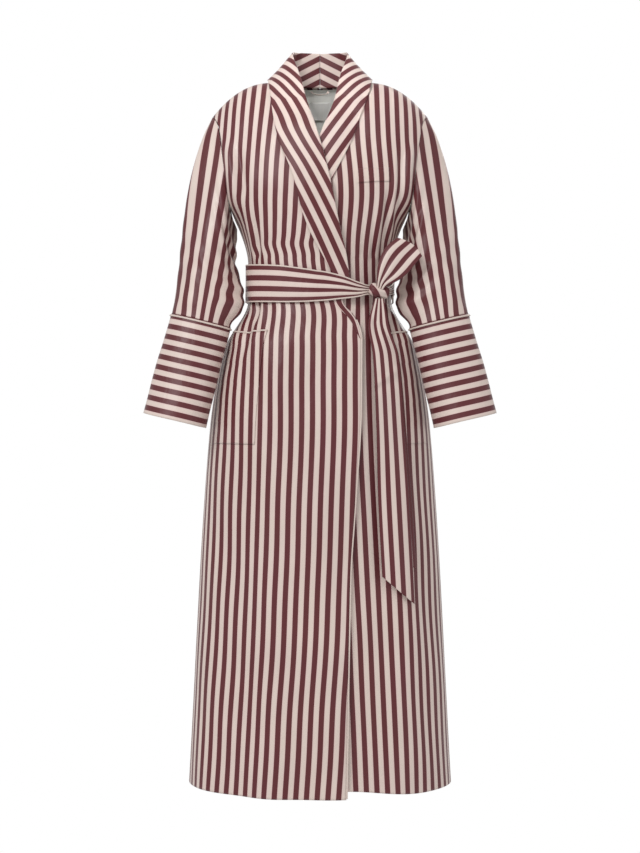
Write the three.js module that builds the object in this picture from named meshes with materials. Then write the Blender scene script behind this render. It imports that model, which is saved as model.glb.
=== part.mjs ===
// A full-length wrap dressing gown in striped satin, tied with a sash, hanging as it is worn.
// Millimetres. +Z is up, the fronts face -Y, and +X is the wearer's left.
// The origin is the middle of the neck, level with the neck seam, where a hanger's hook would pass.
import * as THREE from 'three';

// Heights, measured down from the neck seam.
const ROBE_LENGTH = 1285;
const HIP_DROP = 634;
const WAIST_DROP = 369;
const UNDERARM_DROP = 270;
const SHOULDER_TIP_DROP = 62;
const HEM_DIP = 8;
const UNDER_HEM_RISE = 13;

// Half widths and depths of the body at those heights.
const HEM_HALF_WIDTH = 241;
const HIP_HALF_WIDTH = 202;
const WAIST_HALF_WIDTH = 131;
const UNDERARM_HALF_WIDTH = 149;
const SHOULDER_HALF_WIDTH = 197;
const NECK_HALF_WIDTH = 88;
const BACK_NECK_DEPTH = 55;
const HEM_FRONT_DEPTH = 152;
const HIP_FRONT_DEPTH = 137;
const WAIST_FRONT_DEPTH = 100;
const CHEST_FRONT_DEPTH = 112;
const HEM_BACK_DEPTH = 140;
const HIP_BACK_DEPTH = 124;
const WAIST_BACK_DEPTH = 80;
const CHEST_BACK_DEPTH = 96;
const SQUARENESS = 2.5;
const SHOULDER_ROUNDNESS = 2.4;
const SHOULDER_SLOPE_POWER = 2.2;

// Cloth.
const CLOTH = 2;
const LINING = 0.9;
const LINING_GAP = 0.9;
const LINING_EASE = 2;
const LAP_GAP = 1.8;
const LAYER_GAP = 0.9;
const SEAM_GAP = 0.5;
const LINING_HEM_LIFT = 22;
const PIPING_RADIUS = 1.6;

// Sleeves and turned cuffs. The wearer's left sleeve mirrors the right one.
const CUFF_TOP_DROP = 442;
const CUFF_LENGTH = 187;
const CUFF_TOP_OUT = 215.5;
const CUFF_SPREAD = 45;
const CUFF_TOP_HALF_WIDTH = 54;
const CUFF_HEM_HALF_WIDTH = 57;
const CUFF_TOP_HALF_DEPTH = 37;
const CUFF_HEM_HALF_DEPTH = 40;
const CUFF_TOP_FORWARD = 66;
const CUFF_HEM_FORWARD = 94;
const CUFF_TILT = THREE.MathUtils.degToRad(13.5);
const SLEEVE_HEAD_BULGE = 15;
const UNDERARM_EASE = 3.5;
const SLEEVE_LINING_LIFT = 16;

// Sash.
const SASH_WIDTH = 62;
const SASH_CLOTH = 2.4;
const SASH_SLOPE = 16;
const KNOT_ACROSS = 91;
const KNOT_CLEARANCE = 0.5;
const KNOT_HALF = new THREE.Vector3(21, 12, 15);
const KNOT_DROP = 391;
const TAIL_FRONT_LENGTH = 520;
const TAIL_BACK_LENGTH = 460;
const TAIL_SLANT = 50;
const BOW_LENGTH = 100;
const BOW_ANGLE = THREE.MathUtils.degToRad(46);
const BOW_OPENING = 12;
const BOW_FORWARD = 10;
const BOW_SEAT = 0.86;

// Pockets, loops and label.
const POCKET_MOUTH_DROP = 466;
const POCKET_HEIGHT = 198;
const POCKET_INNER_ANGLE = 29;
const POCKET_OUTER_ANGLE = 68;
const WELT_WIDTH = 58;
const WELT_HEIGHT = 26;
const WELT_ACROSS = 96;
const WELT_DROP = 182;
const BELT_LOOP_WIDTH = 8;
const BELT_LOOP_MARGIN = 12;
const BELT_LOOP_ANGLE = 106;
const COLLAR_STAND = 60;
const HANGER_LOOP_SPAN = 31;
const HANGER_LOOP_HANG = 20;
const HANGER_LOOP_WIDTH = 5;
const LABEL_DROP = 22;
const LABEL_WIDTH = 40;
const LABEL_HEIGHT = 34;
const LABEL_CLOTH = 0.8;

const COLLAR_FOOT = BACK_NECK_DEPTH + 14;

const LAP_OUT = 2 * CLOTH + LINING + LINING_GAP + LAYER_GAP + LAP_GAP;

const HEM = -ROBE_LENGTH;
const UNDERARM = -UNDERARM_DROP;
const WAIST = -WAIST_DROP;
const LINING_OFFSET = -(CLOTH / 2 + LINING_GAP + LINING / 2);
const LAYER = CLOTH + LAYER_GAP;

const WAIST_TOP = WAIST + SASH_WIDTH / 2 + 2;
const WAIST_BOTTOM = WAIST - SASH_WIDTH / 2 - 2;

const STRIPE = { color: '#6d2a30', roughness: 0.42, metalness: 0 };
const CREAM = { color: '#efe2d3', roughness: 0.45, metalness: 0 };
const PALE = { color: '#d6d5cb', roughness: 0.5, metalness: 0 };

const robe = new THREE.Group();

function add(name, geometry, look) {
  const material = new THREE.MeshStandardMaterial(look);
  const mesh = new THREE.Mesh(geometry, material);
  mesh.name = name;
  robe.add(mesh);
}

// Cubic curve through the rows of a table [position, value, value, ...], with no overshoot.
function through(table, column, at) {
  const last = table.length - 1;
  const rate = (i) => (table[i + 1][column] - table[i][column]) / (table[i + 1][0] - table[i][0]);
  const slope = (i) => {
    if (i === 0 || i === last) return rate(Math.min(i, last - 1));
    const [before, after] = [rate(i - 1), rate(i)];
    return before * after <= 0 ? 0 : 2 * before * after / (before + after);
  };
  const inside = THREE.MathUtils.clamp(at, table[0][0], table[last][0]);
  let i = 0;
  while (i < last - 1 && table[i + 1][0] < inside) i += 1;
  const [low, high] = [table[i], table[i + 1]];
  const span = high[0] - low[0];
  const t = (inside - low[0]) / span;
  const t2 = t * t;
  const t3 = t2 * t;
  return (2 * t3 - 3 * t2 + 1) * low[column] + (t3 - 2 * t2 + t) * span * slope(i)
    + (3 * t2 - 2 * t3) * high[column] + (t3 - t2) * span * slope(i + 1);
}

// Rows: height, half width, front depth, back depth.
const mix = THREE.MathUtils.lerp;
const UPPER_HIP = mix(WAIST_BOTTOM, -HIP_DROP, 0.38);
const BODY = [
  [HEM, HEM_HALF_WIDTH, HEM_FRONT_DEPTH, HEM_BACK_DEPTH],
  [-HIP_DROP, HIP_HALF_WIDTH, HIP_FRONT_DEPTH, HIP_BACK_DEPTH],
  [UPPER_HIP, mix(WAIST_HALF_WIDTH, HIP_HALF_WIDTH, 0.62),
    mix(WAIST_FRONT_DEPTH, HIP_FRONT_DEPTH, 0.66), mix(WAIST_BACK_DEPTH, HIP_BACK_DEPTH, 0.62)],
  [WAIST_BOTTOM, WAIST_HALF_WIDTH, WAIST_FRONT_DEPTH, WAIST_BACK_DEPTH],
  [WAIST_TOP, WAIST_HALF_WIDTH, WAIST_FRONT_DEPTH, WAIST_BACK_DEPTH],
  [UNDERARM, UNDERARM_HALF_WIDTH, 0.97 * CHEST_FRONT_DEPTH, 0.95 * CHEST_BACK_DEPTH],
  [0.74 * UNDERARM, mix(UNDERARM_HALF_WIDTH, SHOULDER_HALF_WIDTH, 0.85), CHEST_FRONT_DEPTH,
    CHEST_BACK_DEPTH],
  [0.44 * UNDERARM, SHOULDER_HALF_WIDTH + 8, 0.92 * CHEST_FRONT_DEPTH, CHEST_BACK_DEPTH],
  [0, SHOULDER_HALF_WIDTH + 18, 0.75 * CHEST_FRONT_DEPTH, 0.86 * CHEST_BACK_DEPTH],
];

// Rows: share of the way up from underarm to shoulder seam, share of the way out to the shoulder tip.
const ARMHOLE = [[0, 0], [0.13, 0.27], [0.5, 0.54], [0.85, 0.78], [1, 1]];

const bodyShare = (q) => Math.max(0, (q - UNDERARM) / UNDERARM_DROP);
const halfWidth = (q) => through(BODY, 1, q);

function shoulderHeight(x) {
  const out = (Math.abs(x) - NECK_HALF_WIDTH) / (SHOULDER_HALF_WIDTH - NECK_HALF_WIDTH);
  return -SHOULDER_TIP_DROP * Math.max(0, out) ** SHOULDER_SLOPE_POWER;
}

const armholeAcross = (share) => {
  const out = through(ARMHOLE, 1, share);
  return mix(UNDERARM_HALF_WIDTH, SHOULDER_HALF_WIDTH, out);
};

// Angle round the body, from 0 at the middle to a quarter turn at the side, where it lies x across.
function angleAt(x, q) {
  const share = Math.min(1, Math.abs(x) / halfWidth(q));
  return Math.sign(x) * Math.asin(share ** (SQUARENESS / 2));
}

// A point on the middle of the outer cloth. face is -1 on the fronts and 1 on the back.
function body(face, angle, q) {
  const power = 2 / SQUARENESS;
  const share = bodyShare(q);
  const across = Math.sign(Math.sin(angle)) * Math.abs(Math.sin(angle)) ** power;
  const x = halfWidth(q) * across;
  const depth = through(BODY, face < 0 ? 2 : 3, q);
  const away = Math.sign(Math.cos(angle)) * Math.abs(Math.cos(angle)) ** power;
  const rounding = Math.max(0, 1 - share ** SHOULDER_ROUNDNESS) ** (1 / SHOULDER_ROUNDNESS);
  const rise = share > 0 ? UNDERARM + (shoulderHeight(x) - UNDERARM) * share : q;
  const fall = Math.max(0, (WAIST - q) / (WAIST - HEM));
  const dip = face < 0 ? HEM_DIP * fall * Math.cos(angle) ** 2 : 0;
  const neck = face < 0 ? 0 : BACK_NECK_DEPTH * Math.sqrt(Math.max(0, 1 - (x / NECK_HALF_WIDTH) ** 2));
  const out = share > 0 ? mix(neck, Math.max(neck, depth * away), rounding) : depth * away;
  return new THREE.Vector3(x, face * out, rise - dip);
}

// The same, moved outwards along the surface by a distance.
function onBody(face, angle, q, out) {
  const step = 0.002;
  const up = Math.min(q + 0.5, -0.01);
  const along = body(face, angle + step, q).sub(body(face, angle - step, q));
  const rise = body(face, angle, up).sub(body(face, angle, up - 1));
  const normal = along.cross(rise).normalize();
  return body(face, angle, q).addScaledVector(normal, -face * out);
}

const frontAt = (x, q, out) => onBody(-1, angleAt(x, q), q, out);

// A closed sheet of cloth: surface(u, v) for u and v from 0 to 1, thickened to both sides.
function cloth(surface, columns, rows, thickness) {
  const geometry = new THREE.BoxGeometry(1, 1, 1, columns, rows, 1);
  const position = geometry.attributes.position;
  const step = 0.001;
  for (let i = 0; i < position.count; i += 1) {
    const u = Math.round((position.getX(i) + 0.5) * columns) / columns;
    const v = Math.round((position.getY(i) + 0.5) * rows) / rows;
    const side = Math.sign(position.getZ(i)) * thickness / 2;
    const [u0, u1] = [Math.max(0, u - step), Math.min(1, u + step)];
    const [v0, v1] = [Math.max(0, v - step), Math.min(1, v + step)];
    const across = surface(u1, v).sub(surface(u0, v));
    const along = surface(u, v1).sub(surface(u, v0));
    const point = surface(u, v).addScaledVector(across.cross(along).normalize(), side);
    position.setXYZ(i, point.x, point.y, point.z);
  }
  matchDiagonals(geometry);
  return geometry;
}

// Turns the diagonals of the under face, so that both faces of a sheet fold along the same lines.
function matchDiagonals(geometry) {
  const index = geometry.index.array;
  const under = geometry.groups[5];
  for (let i = under.start; i < under.start + under.count; i += 6) {
    const [a, b, d, , c] = index.slice(i, i + 6);
    index.set([a, b, c, a, c, d], i);
  }
}

// A closed ring: the section's points [out, along] are carried round by place(turn, out, along).
function ring(section, segments, place) {
  const profile = section.map(([out, along]) => new THREE.Vector2(10 + out, along));
  profile.push(profile[0].clone());
  const geometry = new THREE.LatheGeometry(profile, segments);
  const position = geometry.attributes.position;
  for (let i = 0; i < position.count; i += 1) {
    const turn = (Math.floor(i / profile.length) % segments) / segments;
    const [out, along] = section[(i % profile.length) % section.length];
    const point = place(turn, out, along);
    position.setXYZ(i, point.x, point.y, point.z);
  }
  return facingOut(geometry);
}

function facingOut(geometry) {
  const position = geometry.attributes.position;
  const index = geometry.index.array;
  const [a, b, c] = [new THREE.Vector3(), new THREE.Vector3(), new THREE.Vector3()];
  let volume = 0;
  for (let i = 0; i < index.length; i += 3) {
    a.fromBufferAttribute(position, index[i]);
    b.fromBufferAttribute(position, index[i + 1]);
    c.fromBufferAttribute(position, index[i + 2]);
    volume += a.dot(b.cross(c));
  }
  if (volume < 0) {
    for (let i = 0; i < index.length; i += 3) {
      [index[i], index[i + 1]] = [index[i + 1], index[i]];
    }
  }
  return geometry;
}

// A round cord or piping along a curve.
function cordAlong(points, radius, steps, sides) {
  const section = new THREE.Shape();
  for (let i = 0; i < sides; i += 1) {
    const turn = (2 * Math.PI * i) / sides;
    const [x, y] = [radius * Math.cos(turn), radius * Math.sin(turn)];
    if (i) section.lineTo(x, y);
    else section.moveTo(x, y);
  }
  const path = new THREE.CatmullRomCurve3(points);
  return new THREE.ExtrudeGeometry(section, { extrudePath: path, steps });
}

// Heights of the rows of cloth, close together at the waist.
const SKIRT_ROWS = [0, 0.23, 0.455, 0.635, 0.75, 0.83, 0.89, 0.93, 0.96, 0.983, 1];
const MIDRIFF_ROWS = [0, 0.4, 1];
const BODICE_ROWS = [0.03, 0.08, 0.16, 0.28, 0.42, 0.56, 0.68, 0.78, 0.86, 0.925, 0.97, 1];
const rowHeights = SKIRT_ROWS.map((share) => mix(HEM, WAIST_BOTTOM, share))
  .concat(MIDRIFF_ROWS.map((share) => mix(WAIST_TOP, UNDERARM, share)))
  .concat(BODICE_ROWS.map((share) => UNDERARM * (1 - share)));
const ROWS = rowHeights.length - 1;

function heightAt(v) {
  const at = Math.min(ROWS - 1e-9, Math.max(0, v * ROWS));
  const i = Math.floor(at);
  return mix(rowHeights[i], rowHeights[i + 1], at - i);
}

// Where the free edges run, across from the middle, by height.
const RIGHT_EDGE = [
  [HEM, 46], [-900, 53], [-760, 62], [-600, 71], [-480, 72], [-440, 60], [-408, 37],
  [WAIST, 36], [-340, 28], [-265, 4], [-190, -14], [-110, -40], [-50, -60], [0, -84],
];
const LEFT_EDGE = [
  [HEM, -60], [WAIST, -48], [-270, -22], [-190, 0], [-110, 30], [-50, 58], [0, 84],
];
const LAP_START = -150;
const LAP_FULL = -66;

const lapOver = (x) => LAP_OUT * THREE.MathUtils.smoothstep(x, LAP_START, LAP_FULL);
const underRise = (x, q) => {
  const fall = Math.max(0, (WAIST - q) / (WAIST - HEM));
  return UNDER_HEM_RISE * fall * (1 - THREE.MathUtils.smoothstep(x, 40, 200));
};

function seamAngle(q) {
  const share = bodyShare(q);
  return share > 0 ? angleAt(armholeAcross(share), q) : Math.PI / 2;
}

// The linings sit a little deeper round the underarms, and stop short of the hem.
const inset = (q, offset) => {
  const ease = LINING_EASE * Math.exp(-(((q - 0.87 * UNDERARM) / 45) ** 2));
  return offset < 0 ? offset - ease : offset;
};
const hemLift = (v, offset) => (offset < 0 ? LINING_HEM_LIFT * Math.max(0, 1 - v * ROWS) : 0);

const seamShare = (offset) => (offset < 0 ? SEAM_GAP : SEAM_GAP / 2);

function frontPanel(side, edge, offset) {
  return (u, v) => {
    const q = heightAt(v) + hemLift(v, offset);
    const inner = angleAt(through(edge, 1, q), q);
    const angle = mix(inner, side * seamAngle(q), side > 0 ? u : 1 - u);
    const x = body(-1, angle, q).x;
    const lap = side < 0 ? lapOver(x) : 0;
    const point = onBody(-1, angle, q, lap + inset(q, offset));
    point.y -= seamShare(offset);
    point.z += side > 0 ? underRise(x, q) : 0;
    return point;
  };
}

function backPanel(offset) {
  return (u, v) => {
    const q = heightAt(v) + hemLift(v, offset);
    const angle = mix(seamAngle(q), -seamAngle(q), u);
    const point = onBody(1, angle, q, inset(q, offset));
    point.y += seamShare(offset);
    return point;
  };
}

// The back's upper edge runs along the shoulder seams and round the back of the neck.
function makeBody() {
  const columns = 9;
  add('back_panel', cloth(backPanel(0), 14, ROWS, CLOTH), STRIPE);
  add('right_front', cloth(frontPanel(-1, RIGHT_EDGE, 0), columns, ROWS, CLOTH), STRIPE);
  add('left_front', cloth(frontPanel(1, LEFT_EDGE, 0), columns, ROWS, CLOTH), STRIPE);
  add('back_lining', cloth(backPanel(LINING_OFFSET), 14, ROWS, LINING), PALE);
  const right = frontPanel(-1, RIGHT_EDGE, LINING_OFFSET);
  const left = frontPanel(1, LEFT_EDGE, LINING_OFFSET);
  add('right_front_lining', cloth(right, columns, ROWS, LINING), PALE);
  add('left_front_lining', cloth(left, columns, ROWS, LINING), PALE);
}

// Shawl collar. Each station gives the outer edge and the rolled inner edge: across, back, up.
// A station with no depth of its own lies on the front, a few layers of cloth out.
function collarLine(stations, lift, column) {
  const points = stations.map((station) => {
    const [x, y, z] = station[column];
    return y === null ? frontAt(x, z, lift(x)) : new THREE.Vector3(x, y, z);
  });
  return new THREE.CatmullRomCurve3(points);
}

// Moves a point out along the body's surface until it is at least a distance clear of it.
function liftedClear(point, distance) {
  for (let pass = 0; pass < 3; pass += 1) {
    const face = point.y < 0 ? -1 : 1;
    const top = shoulderHeight(point.x) - UNDERARM;
    const share = Math.min(0.998, (point.z - UNDERARM) / top);
    const q = share > 0 ? UNDERARM * (1 - share) : point.z;
    const angle = angleAt(point.x, q);
    const base = onBody(face, angle, q, 0);
    const normal = onBody(face, angle, q, 1).sub(base);
    const clear = normal.dot(point.clone().sub(base));
    if (clear < distance) point.addScaledVector(normal, distance - clear);
  }
  return point;
}

function collarHalf(stations, side, lift) {
  const outer = collarLine(stations, lift, 0);
  const inner = collarLine(stations, lift, 1);
  return (u, v) => {
    const from = outer.getPoint(v);
    const point = from.lerp(inner.getPoint(v), side < 0 ? u : 1 - u);
    return liftedClear(point, lift(point.x));
  };
}

const RIGHT_COLLAR = [
  [[32, null, -380], [52, null, -380]],
  [[-4, null, -312], [44, null, -316]],
  [[-27, null, -262], [34, null, -272]],
  [[-47, null, -191], [20, null, -204]],
  [[-77, null, -112], [-3, null, -113]],
  [[-88, null, -50], [-24, null, -45]],
  [[-93, -36, -10], [-38, -30, 10]],
  [[-94, 4, 5], [-51, 10, 56]],
  [[-66, 55, -12], [-38, 38, COLLAR_STAND + 3]],
  [[-SEAM_GAP, COLLAR_FOOT, -12], [-SEAM_GAP, BACK_NECK_DEPTH - 4, COLLAR_STAND + 4]],
];
const LEFT_COLLAR = [
  [[-36, null, -380], [-56, null, -380]],
  [[-20, null, -312], [-52, null, -316]],
  [[0, null, -250], [-42, null, -262]],
  [[20, null, -195], [-24, null, -192]],
  [[54, null, -126], [-1, null, -113]],
  [[78, null, -60], [26, null, -42]],
  [[93, -36, -10], [38, -30, 10]],
  [[94, 4, 5], [51, 10, 56]],
  [[66, 55, -12], [38, 38, COLLAR_STAND + 3]],
  [[SEAM_GAP, COLLAR_FOOT, -12], [SEAM_GAP, BACK_NECK_DEPTH - 4, COLLAR_STAND + 4]],
];

function makeCollar() {
  const right = collarHalf(RIGHT_COLLAR, -1, (x) => lapOver(x) + LAYER + 0.2);
  const left = collarHalf(LEFT_COLLAR, 1, () => LAYER);
  add('right_collar', cloth(right, 3, 26, CLOTH), STRIPE);
  add('left_collar', cloth(left, 3, 26, CLOTH), STRIPE);
}

// Sleeves. side is -1 for the wearer's right. turn 0 is the outer line, a half turn the underarm.
function armholePoint(side, turn) {
  const angle = 2 * Math.PI * turn;
  const share = (1 + Math.cos(angle)) / 2;
  const q = UNDERARM * (1 - share);
  const face = Math.sin(angle) >= 0 ? -1 : 1;
  const point = body(face, side * seamAngle(q), q);
  point.x += side * (2 * SEAM_GAP + UNDERARM_EASE * (1 - share) ** 4);
  point.z -= SEAM_GAP;
  return point;
}

function cuffRing(side, turn, share) {
  const angle = 2 * Math.PI * turn;
  const wide = mix(CUFF_TOP_HALF_WIDTH, CUFF_HEM_HALF_WIDTH, share);
  const deep = mix(CUFF_TOP_HALF_DEPTH, CUFF_HEM_HALF_DEPTH, share);
  const out = CUFF_TOP_OUT + CUFF_SPREAD * share;
  const forward = mix(CUFF_TOP_FORWARD, CUFF_HEM_FORWARD, share);
  const fall = Math.sqrt(CUFF_LENGTH ** 2 - CUFF_SPREAD ** 2);
  const across = wide * Math.cos(angle);
  return new THREE.Vector3(
    side * (out + across * Math.cos(CUFF_TILT)),
    -forward - deep * Math.sin(angle),
    -CUFF_TOP_DROP - fall * share + across * Math.sin(CUFF_TILT),
  );
}

function sleevePoint(side, turn, share) {
  if (share >= 1) return cuffRing(side, turn, share - 1);
  const point = armholePoint(side, turn).lerp(cuffRing(side, turn, 0), share);
  const outer = Math.max(0, Math.cos(2 * Math.PI * turn)) ** 2;
  const swell = SLEEVE_HEAD_BULGE * 6.75 * share * (1 - share) ** 2;
  point.x += side * swell * outer;
  return point;
}

// Outward offset from the middle of the sleeve's cloth.
function sleeveAt(side, turn, share, out) {
  const step = 0.004;
  const round = sleevePoint(side, turn + step, share).sub(sleevePoint(side, turn - step, share));
  const low = share >= 1 ? Math.min(share + step, 2) : Math.min(share + step, 1);
  const high = share >= 1 ? Math.max(share - step, 1) : Math.max(share - step, 0);
  const down = sleevePoint(side, turn, low - 1e-9).sub(sleevePoint(side, turn, high));
  const normal = round.cross(down).normalize();
  return sleevePoint(side, turn, share).addScaledVector(normal, side * out);
}

function tube(side, shares, out, thickness, segments) {
  const outerWall = shares.map((share) => [out + thickness / 2, share]);
  const innerWall = shares.map((share) => [out - thickness / 2, share]).reverse();
  const place = (turn, distance, share) => sleeveAt(side, turn, share, distance);
  return ring(outerWall.concat(innerWall), segments, place);
}

const ROUND_SECTION = [0, 1, 2, 3, 4].map((i) => {
  const turn = (2 * Math.PI * i) / 5;
  return [PIPING_RADIUS * Math.cos(turn), PIPING_RADIUS * Math.sin(turn)];
});

function makeSleeve(side, word) {
  const segments = 20;
  const sleeveRows = [0, 0.12, 0.26, 0.4, 0.5, 0.59, 0.69, 0.79, 0.89, 0.998];
  const cuffRows = [1.004, 1.35, 1.7, 2];
  const liningEnd = 2 - SLEEVE_LINING_LIFT / CUFF_LENGTH;
  const liningRows = [0.03, 0.14, 0.27, 0.41, 0.51, 0.6, 0.7, 0.8, 0.9, 0.985, 1.02, 1.35, 1.7, liningEnd];
  add(`${word}_sleeve`, tube(side, sleeveRows, 0, CLOTH, segments), STRIPE);
  add(`${word}_cuff`, tube(side, cuffRows, 0, CLOTH, segments), STRIPE);
  add(`${word}_sleeve_lining`, tube(side, liningRows, LINING_OFFSET, LINING, segments), PALE);
  const rim = CLOTH / 2 + PIPING_RADIUS + 0.4;
  const drop = (along) => 1.02 + along / CUFF_LENGTH;
  const place = (turn, out, along) => sleeveAt(side, turn, drop(along), rim + out);
  add(`${word}_cuff_piping`, ring(ROUND_SECTION, segments, place), CREAM);
}

// Sash round the waist. turn 0 is the middle front and it runs to the wearer's left first.
const SASH_SIDE_OUT = LAYER + 2.4;
const SASH_FRONT_OUT = LAP_OUT + LAYER + CLOTH / 2 + LAP_GAP + SASH_CLOTH / 2;

function sashPlace(turn, out, along) {
  const angle = 2 * Math.PI * turn;
  const face = Math.cos(angle) >= 0 ? -1 : 1;
  const within = Math.atan2(Math.sin(angle), Math.abs(Math.cos(angle)));
  const x = WAIST_HALF_WIDTH * Math.sin(within);
  const near = face < 0 ? Math.exp(-(((x - KNOT_ACROSS) / 38) ** 2)) : 0;
  const level = face < 0 ? WAIST - SASH_SLOPE * near : WAIST;
  const half = SASH_WIDTH / 2 * (1 - 0.55 * near);
  const base = onBody(face, within, WAIST, 0);
  const normal = onBody(face, within, WAIST, 1).sub(base);
  const flat = new THREE.Vector3(normal.x, normal.y, 0).normalize();
  const overLaps = face < 0 ? 1 - Math.abs(Math.sin(within)) ** 8 : 0;
  const clear = mix(SASH_SIDE_OUT, SASH_FRONT_OUT, overLaps);
  const spot = base.addScaledVector(flat, clear + out);
  spot.z = level + along * half;
  return spot;
}

function makeSash() {
  const segments = 44;
  const t = SASH_CLOTH / 2;
  const band = [[t, -1], [t, 1], [-t, 1], [-t, -1]];
  add('sash_band', ring(band, segments, sashPlace), STRIPE);
  const edge = (sign) => (turn, out, along) => {
    const rim = sashPlace(turn, out, sign);
    rim.z += sign * (PIPING_RADIUS + 0.4) + along;
    return rim;
  };
  add('sash_top_piping', ring(ROUND_SECTION, segments, edge(1)), CREAM);
  add('sash_bottom_piping', ring(ROUND_SECTION, segments, edge(-1)), CREAM);

  const turn = angleAt(KNOT_ACROSS, WAIST) / (2 * Math.PI);
  const seat = sashPlace(turn, t, 0);
  const outward = sashPlace(turn, t + 1, 0).sub(seat);
  const centre = seat.addScaledVector(outward, KNOT_HALF.y + KNOT_CLEARANCE);
  centre.z = -KNOT_DROP;
  const knot = new THREE.SphereGeometry(1, 14, 9);
  knot.scale(KNOT_HALF.x, KNOT_HALF.y, KNOT_HALF.z);
  knot.rotateZ(Math.atan2(outward.x, -outward.y));
  knot.translate(centre.x, centre.y, centre.z);
  add('sash_knot', knot, STRIPE);
  makeBow(centre);
  makeTails(centre);
}

// The bow is one flattened loop of sash that rises from the knot and folds back at its far end.
function makeBow(centre) {
  const half = BOW_OPENING / 2;
  const wall = SASH_CLOTH;
  const tip = BOW_LENGTH - half - wall;
  const outline = (grow) => {
    const points = [new THREE.Vector2(wall + 2 - grow, 0), new THREE.Vector2(24, half * 0.6 + grow)];
    for (let i = 0; i <= 8; i += 1) {
      const turn = Math.PI * (0.5 - i / 8);
      const radius = half + grow;
      points.push(new THREE.Vector2(tip + radius * Math.cos(turn), radius * Math.sin(turn)));
    }
    points.push(new THREE.Vector2(24, -half * 0.6 - grow));
    return points.reverse();
  };
  const shape = new THREE.Shape(outline(wall));
  shape.holes.push(new THREE.Path(outline(0)));
  const loop = new THREE.ExtrudeGeometry(shape, { depth: 1, bevelEnabled: false, steps: 1 });
  const position = loop.attributes.position;
  const [c, s] = [Math.cos(BOW_ANGLE), Math.sin(BOW_ANGLE)];
  const reach = BOW_SEAT / Math.hypot(c / KNOT_HALF.x, s / KNOT_HALF.z);
  const start = new THREE.Vector3(c, 0, s).multiplyScalar(reach).add(centre);
  for (let i = 0; i < position.count; i += 1) {
    const length = position.getX(i);
    const out = position.getY(i);
    const spread = THREE.MathUtils.smoothstep(length, 0, 60);
    const across = (position.getZ(i) - 0.5) * mix(16, SASH_WIDTH - 4, spread);
    position.setXYZ(
      i,
      start.x + length * c + across * s,
      start.y - out - BOW_FORWARD * spread,
      start.z + length * s - across * c,
    );
  }
  add('bow_loop', loop, STRIPE);
}

const TAIL_BACK_OUT = LAP_OUT + LAYER + 2;
const TAIL_FRONT_OUT = TAIL_BACK_OUT + LAYER + 2.6;

// Tails. Rows: share of the length, across from the knot, half width.
const TAIL = [[0, 0, 9], [0.08, -2, 18], [0.2, 11, 23], [0.45, 19, 25], [0.7, 25, 28], [1, 33, 29]];

function makeTails(centre) {
  const top = centre.z - KNOT_HALF.z - 0.3;
  const rows = 18;
  const tail = (length, out, shift) => (u, v) => {
    const share = (1 - v) * length / TAIL_FRONT_LENGTH;
    const slant = TAIL_SLANT * (u - 0.5) * (1 - v) ** 4;
    const z = top - share * TAIL_FRONT_LENGTH - slant;
    const half = through(TAIL, 2, share);
    const x = centre.x + through(TAIL, 1, share) + shift * share + (u - 0.5) * 2 * half;
    const rest = frontAt(x, z, out).y;
    return new THREE.Vector3(x, Math.min(rest, centre.y + TAIL_FRONT_OUT - out), z);
  };
  const backRows = Math.round(rows * TAIL_BACK_LENGTH / TAIL_FRONT_LENGTH);
  add('sash_tail_back', cloth(tail(TAIL_BACK_LENGTH, TAIL_BACK_OUT, 8), 3, backRows, CLOTH), STRIPE);
  add('sash_tail_front', cloth(tail(TAIL_FRONT_LENGTH, TAIL_FRONT_OUT, 0), 3, rows, CLOTH), STRIPE);
}

// Patch pockets at the hips, with a piped mouth, and a welt on the wearer's left breast.
function makePockets() {
  const [inner, outer] = [POCKET_INNER_ANGLE, POCKET_OUTER_ANGLE].map(THREE.MathUtils.degToRad);
  for (const [side, word] of [[-1, 'right'], [1, 'left']]) {
      const patch = (u, v) => {
      const angle = side > 0 ? mix(inner, outer, u) : -mix(outer, inner, u);
      const q = -POCKET_MOUTH_DROP - POCKET_HEIGHT * (1 - v);
      const lap = side < 0 ? lapOver(body(-1, angle, q).x) : 0;
      return onBody(-1, angle, q, LAYER + lap + 0.3);
    };
    add(`${word}_hip_pocket`, cloth(patch, 6, 6, CLOTH), STRIPE);
    const points = [0, 0.2, 0.4, 0.6, 0.8, 1].map((u) => {
      const mouth = patch(u, 1);
      mouth.z += PIPING_RADIUS + 0.5;
      return mouth;
    });
    add(`${word}_pocket_piping`, cordAlong(points, PIPING_RADIUS, 10, 6), CREAM);
  }
  const welt = (u, v) => {
    const x = WELT_ACROSS + (u - 0.5) * WELT_WIDTH;
    const q = -WELT_DROP + (v - 0.5) * WELT_HEIGHT + (u - 0.5) * 6;
    return frontAt(x, q, LAYER + 0.2);
  };
  add('chest_pocket_welt', cloth(welt, 3, 2, CLOTH), STRIPE);
}

// Two narrow loops, a little behind the side seams, that the sash passes through.
function makeBeltLoops() {
  const reach = SASH_WIDTH / 2 + BELT_LOOP_MARGIN;
  for (const [side, word] of [[-1, 'right'], [1, 'left']]) {
    const strip = (u, v) => {
      const angle = side * THREE.MathUtils.degToRad(180 - BELT_LOOP_ANGLE);
      const along = (0.5 - u) * BELT_LOOP_WIDTH / WAIST_HALF_WIDTH;
      const q = WAIST + (v * 2 - 1) * reach;
      const low = CLOTH / 2 + 2;
      const high = SASH_SIDE_OUT + SASH_CLOTH / 2 + PIPING_RADIUS + 1.2;
      const over = THREE.MathUtils.smoothstep(1 - Math.abs(v * 2 - 1), 0.02, 0.2);
      const spot = onBody(1, angle + along, WAIST, mix(low, high, over));
      const foot = onBody(1, angle + along, q, low);
      spot.lerp(foot, 1 - over);
      spot.z = q;
      return spot;
    };
    add(`${word}_belt_loop`, cloth(strip, 1, 16, 1.2), STRIPE);
  }
}

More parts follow.
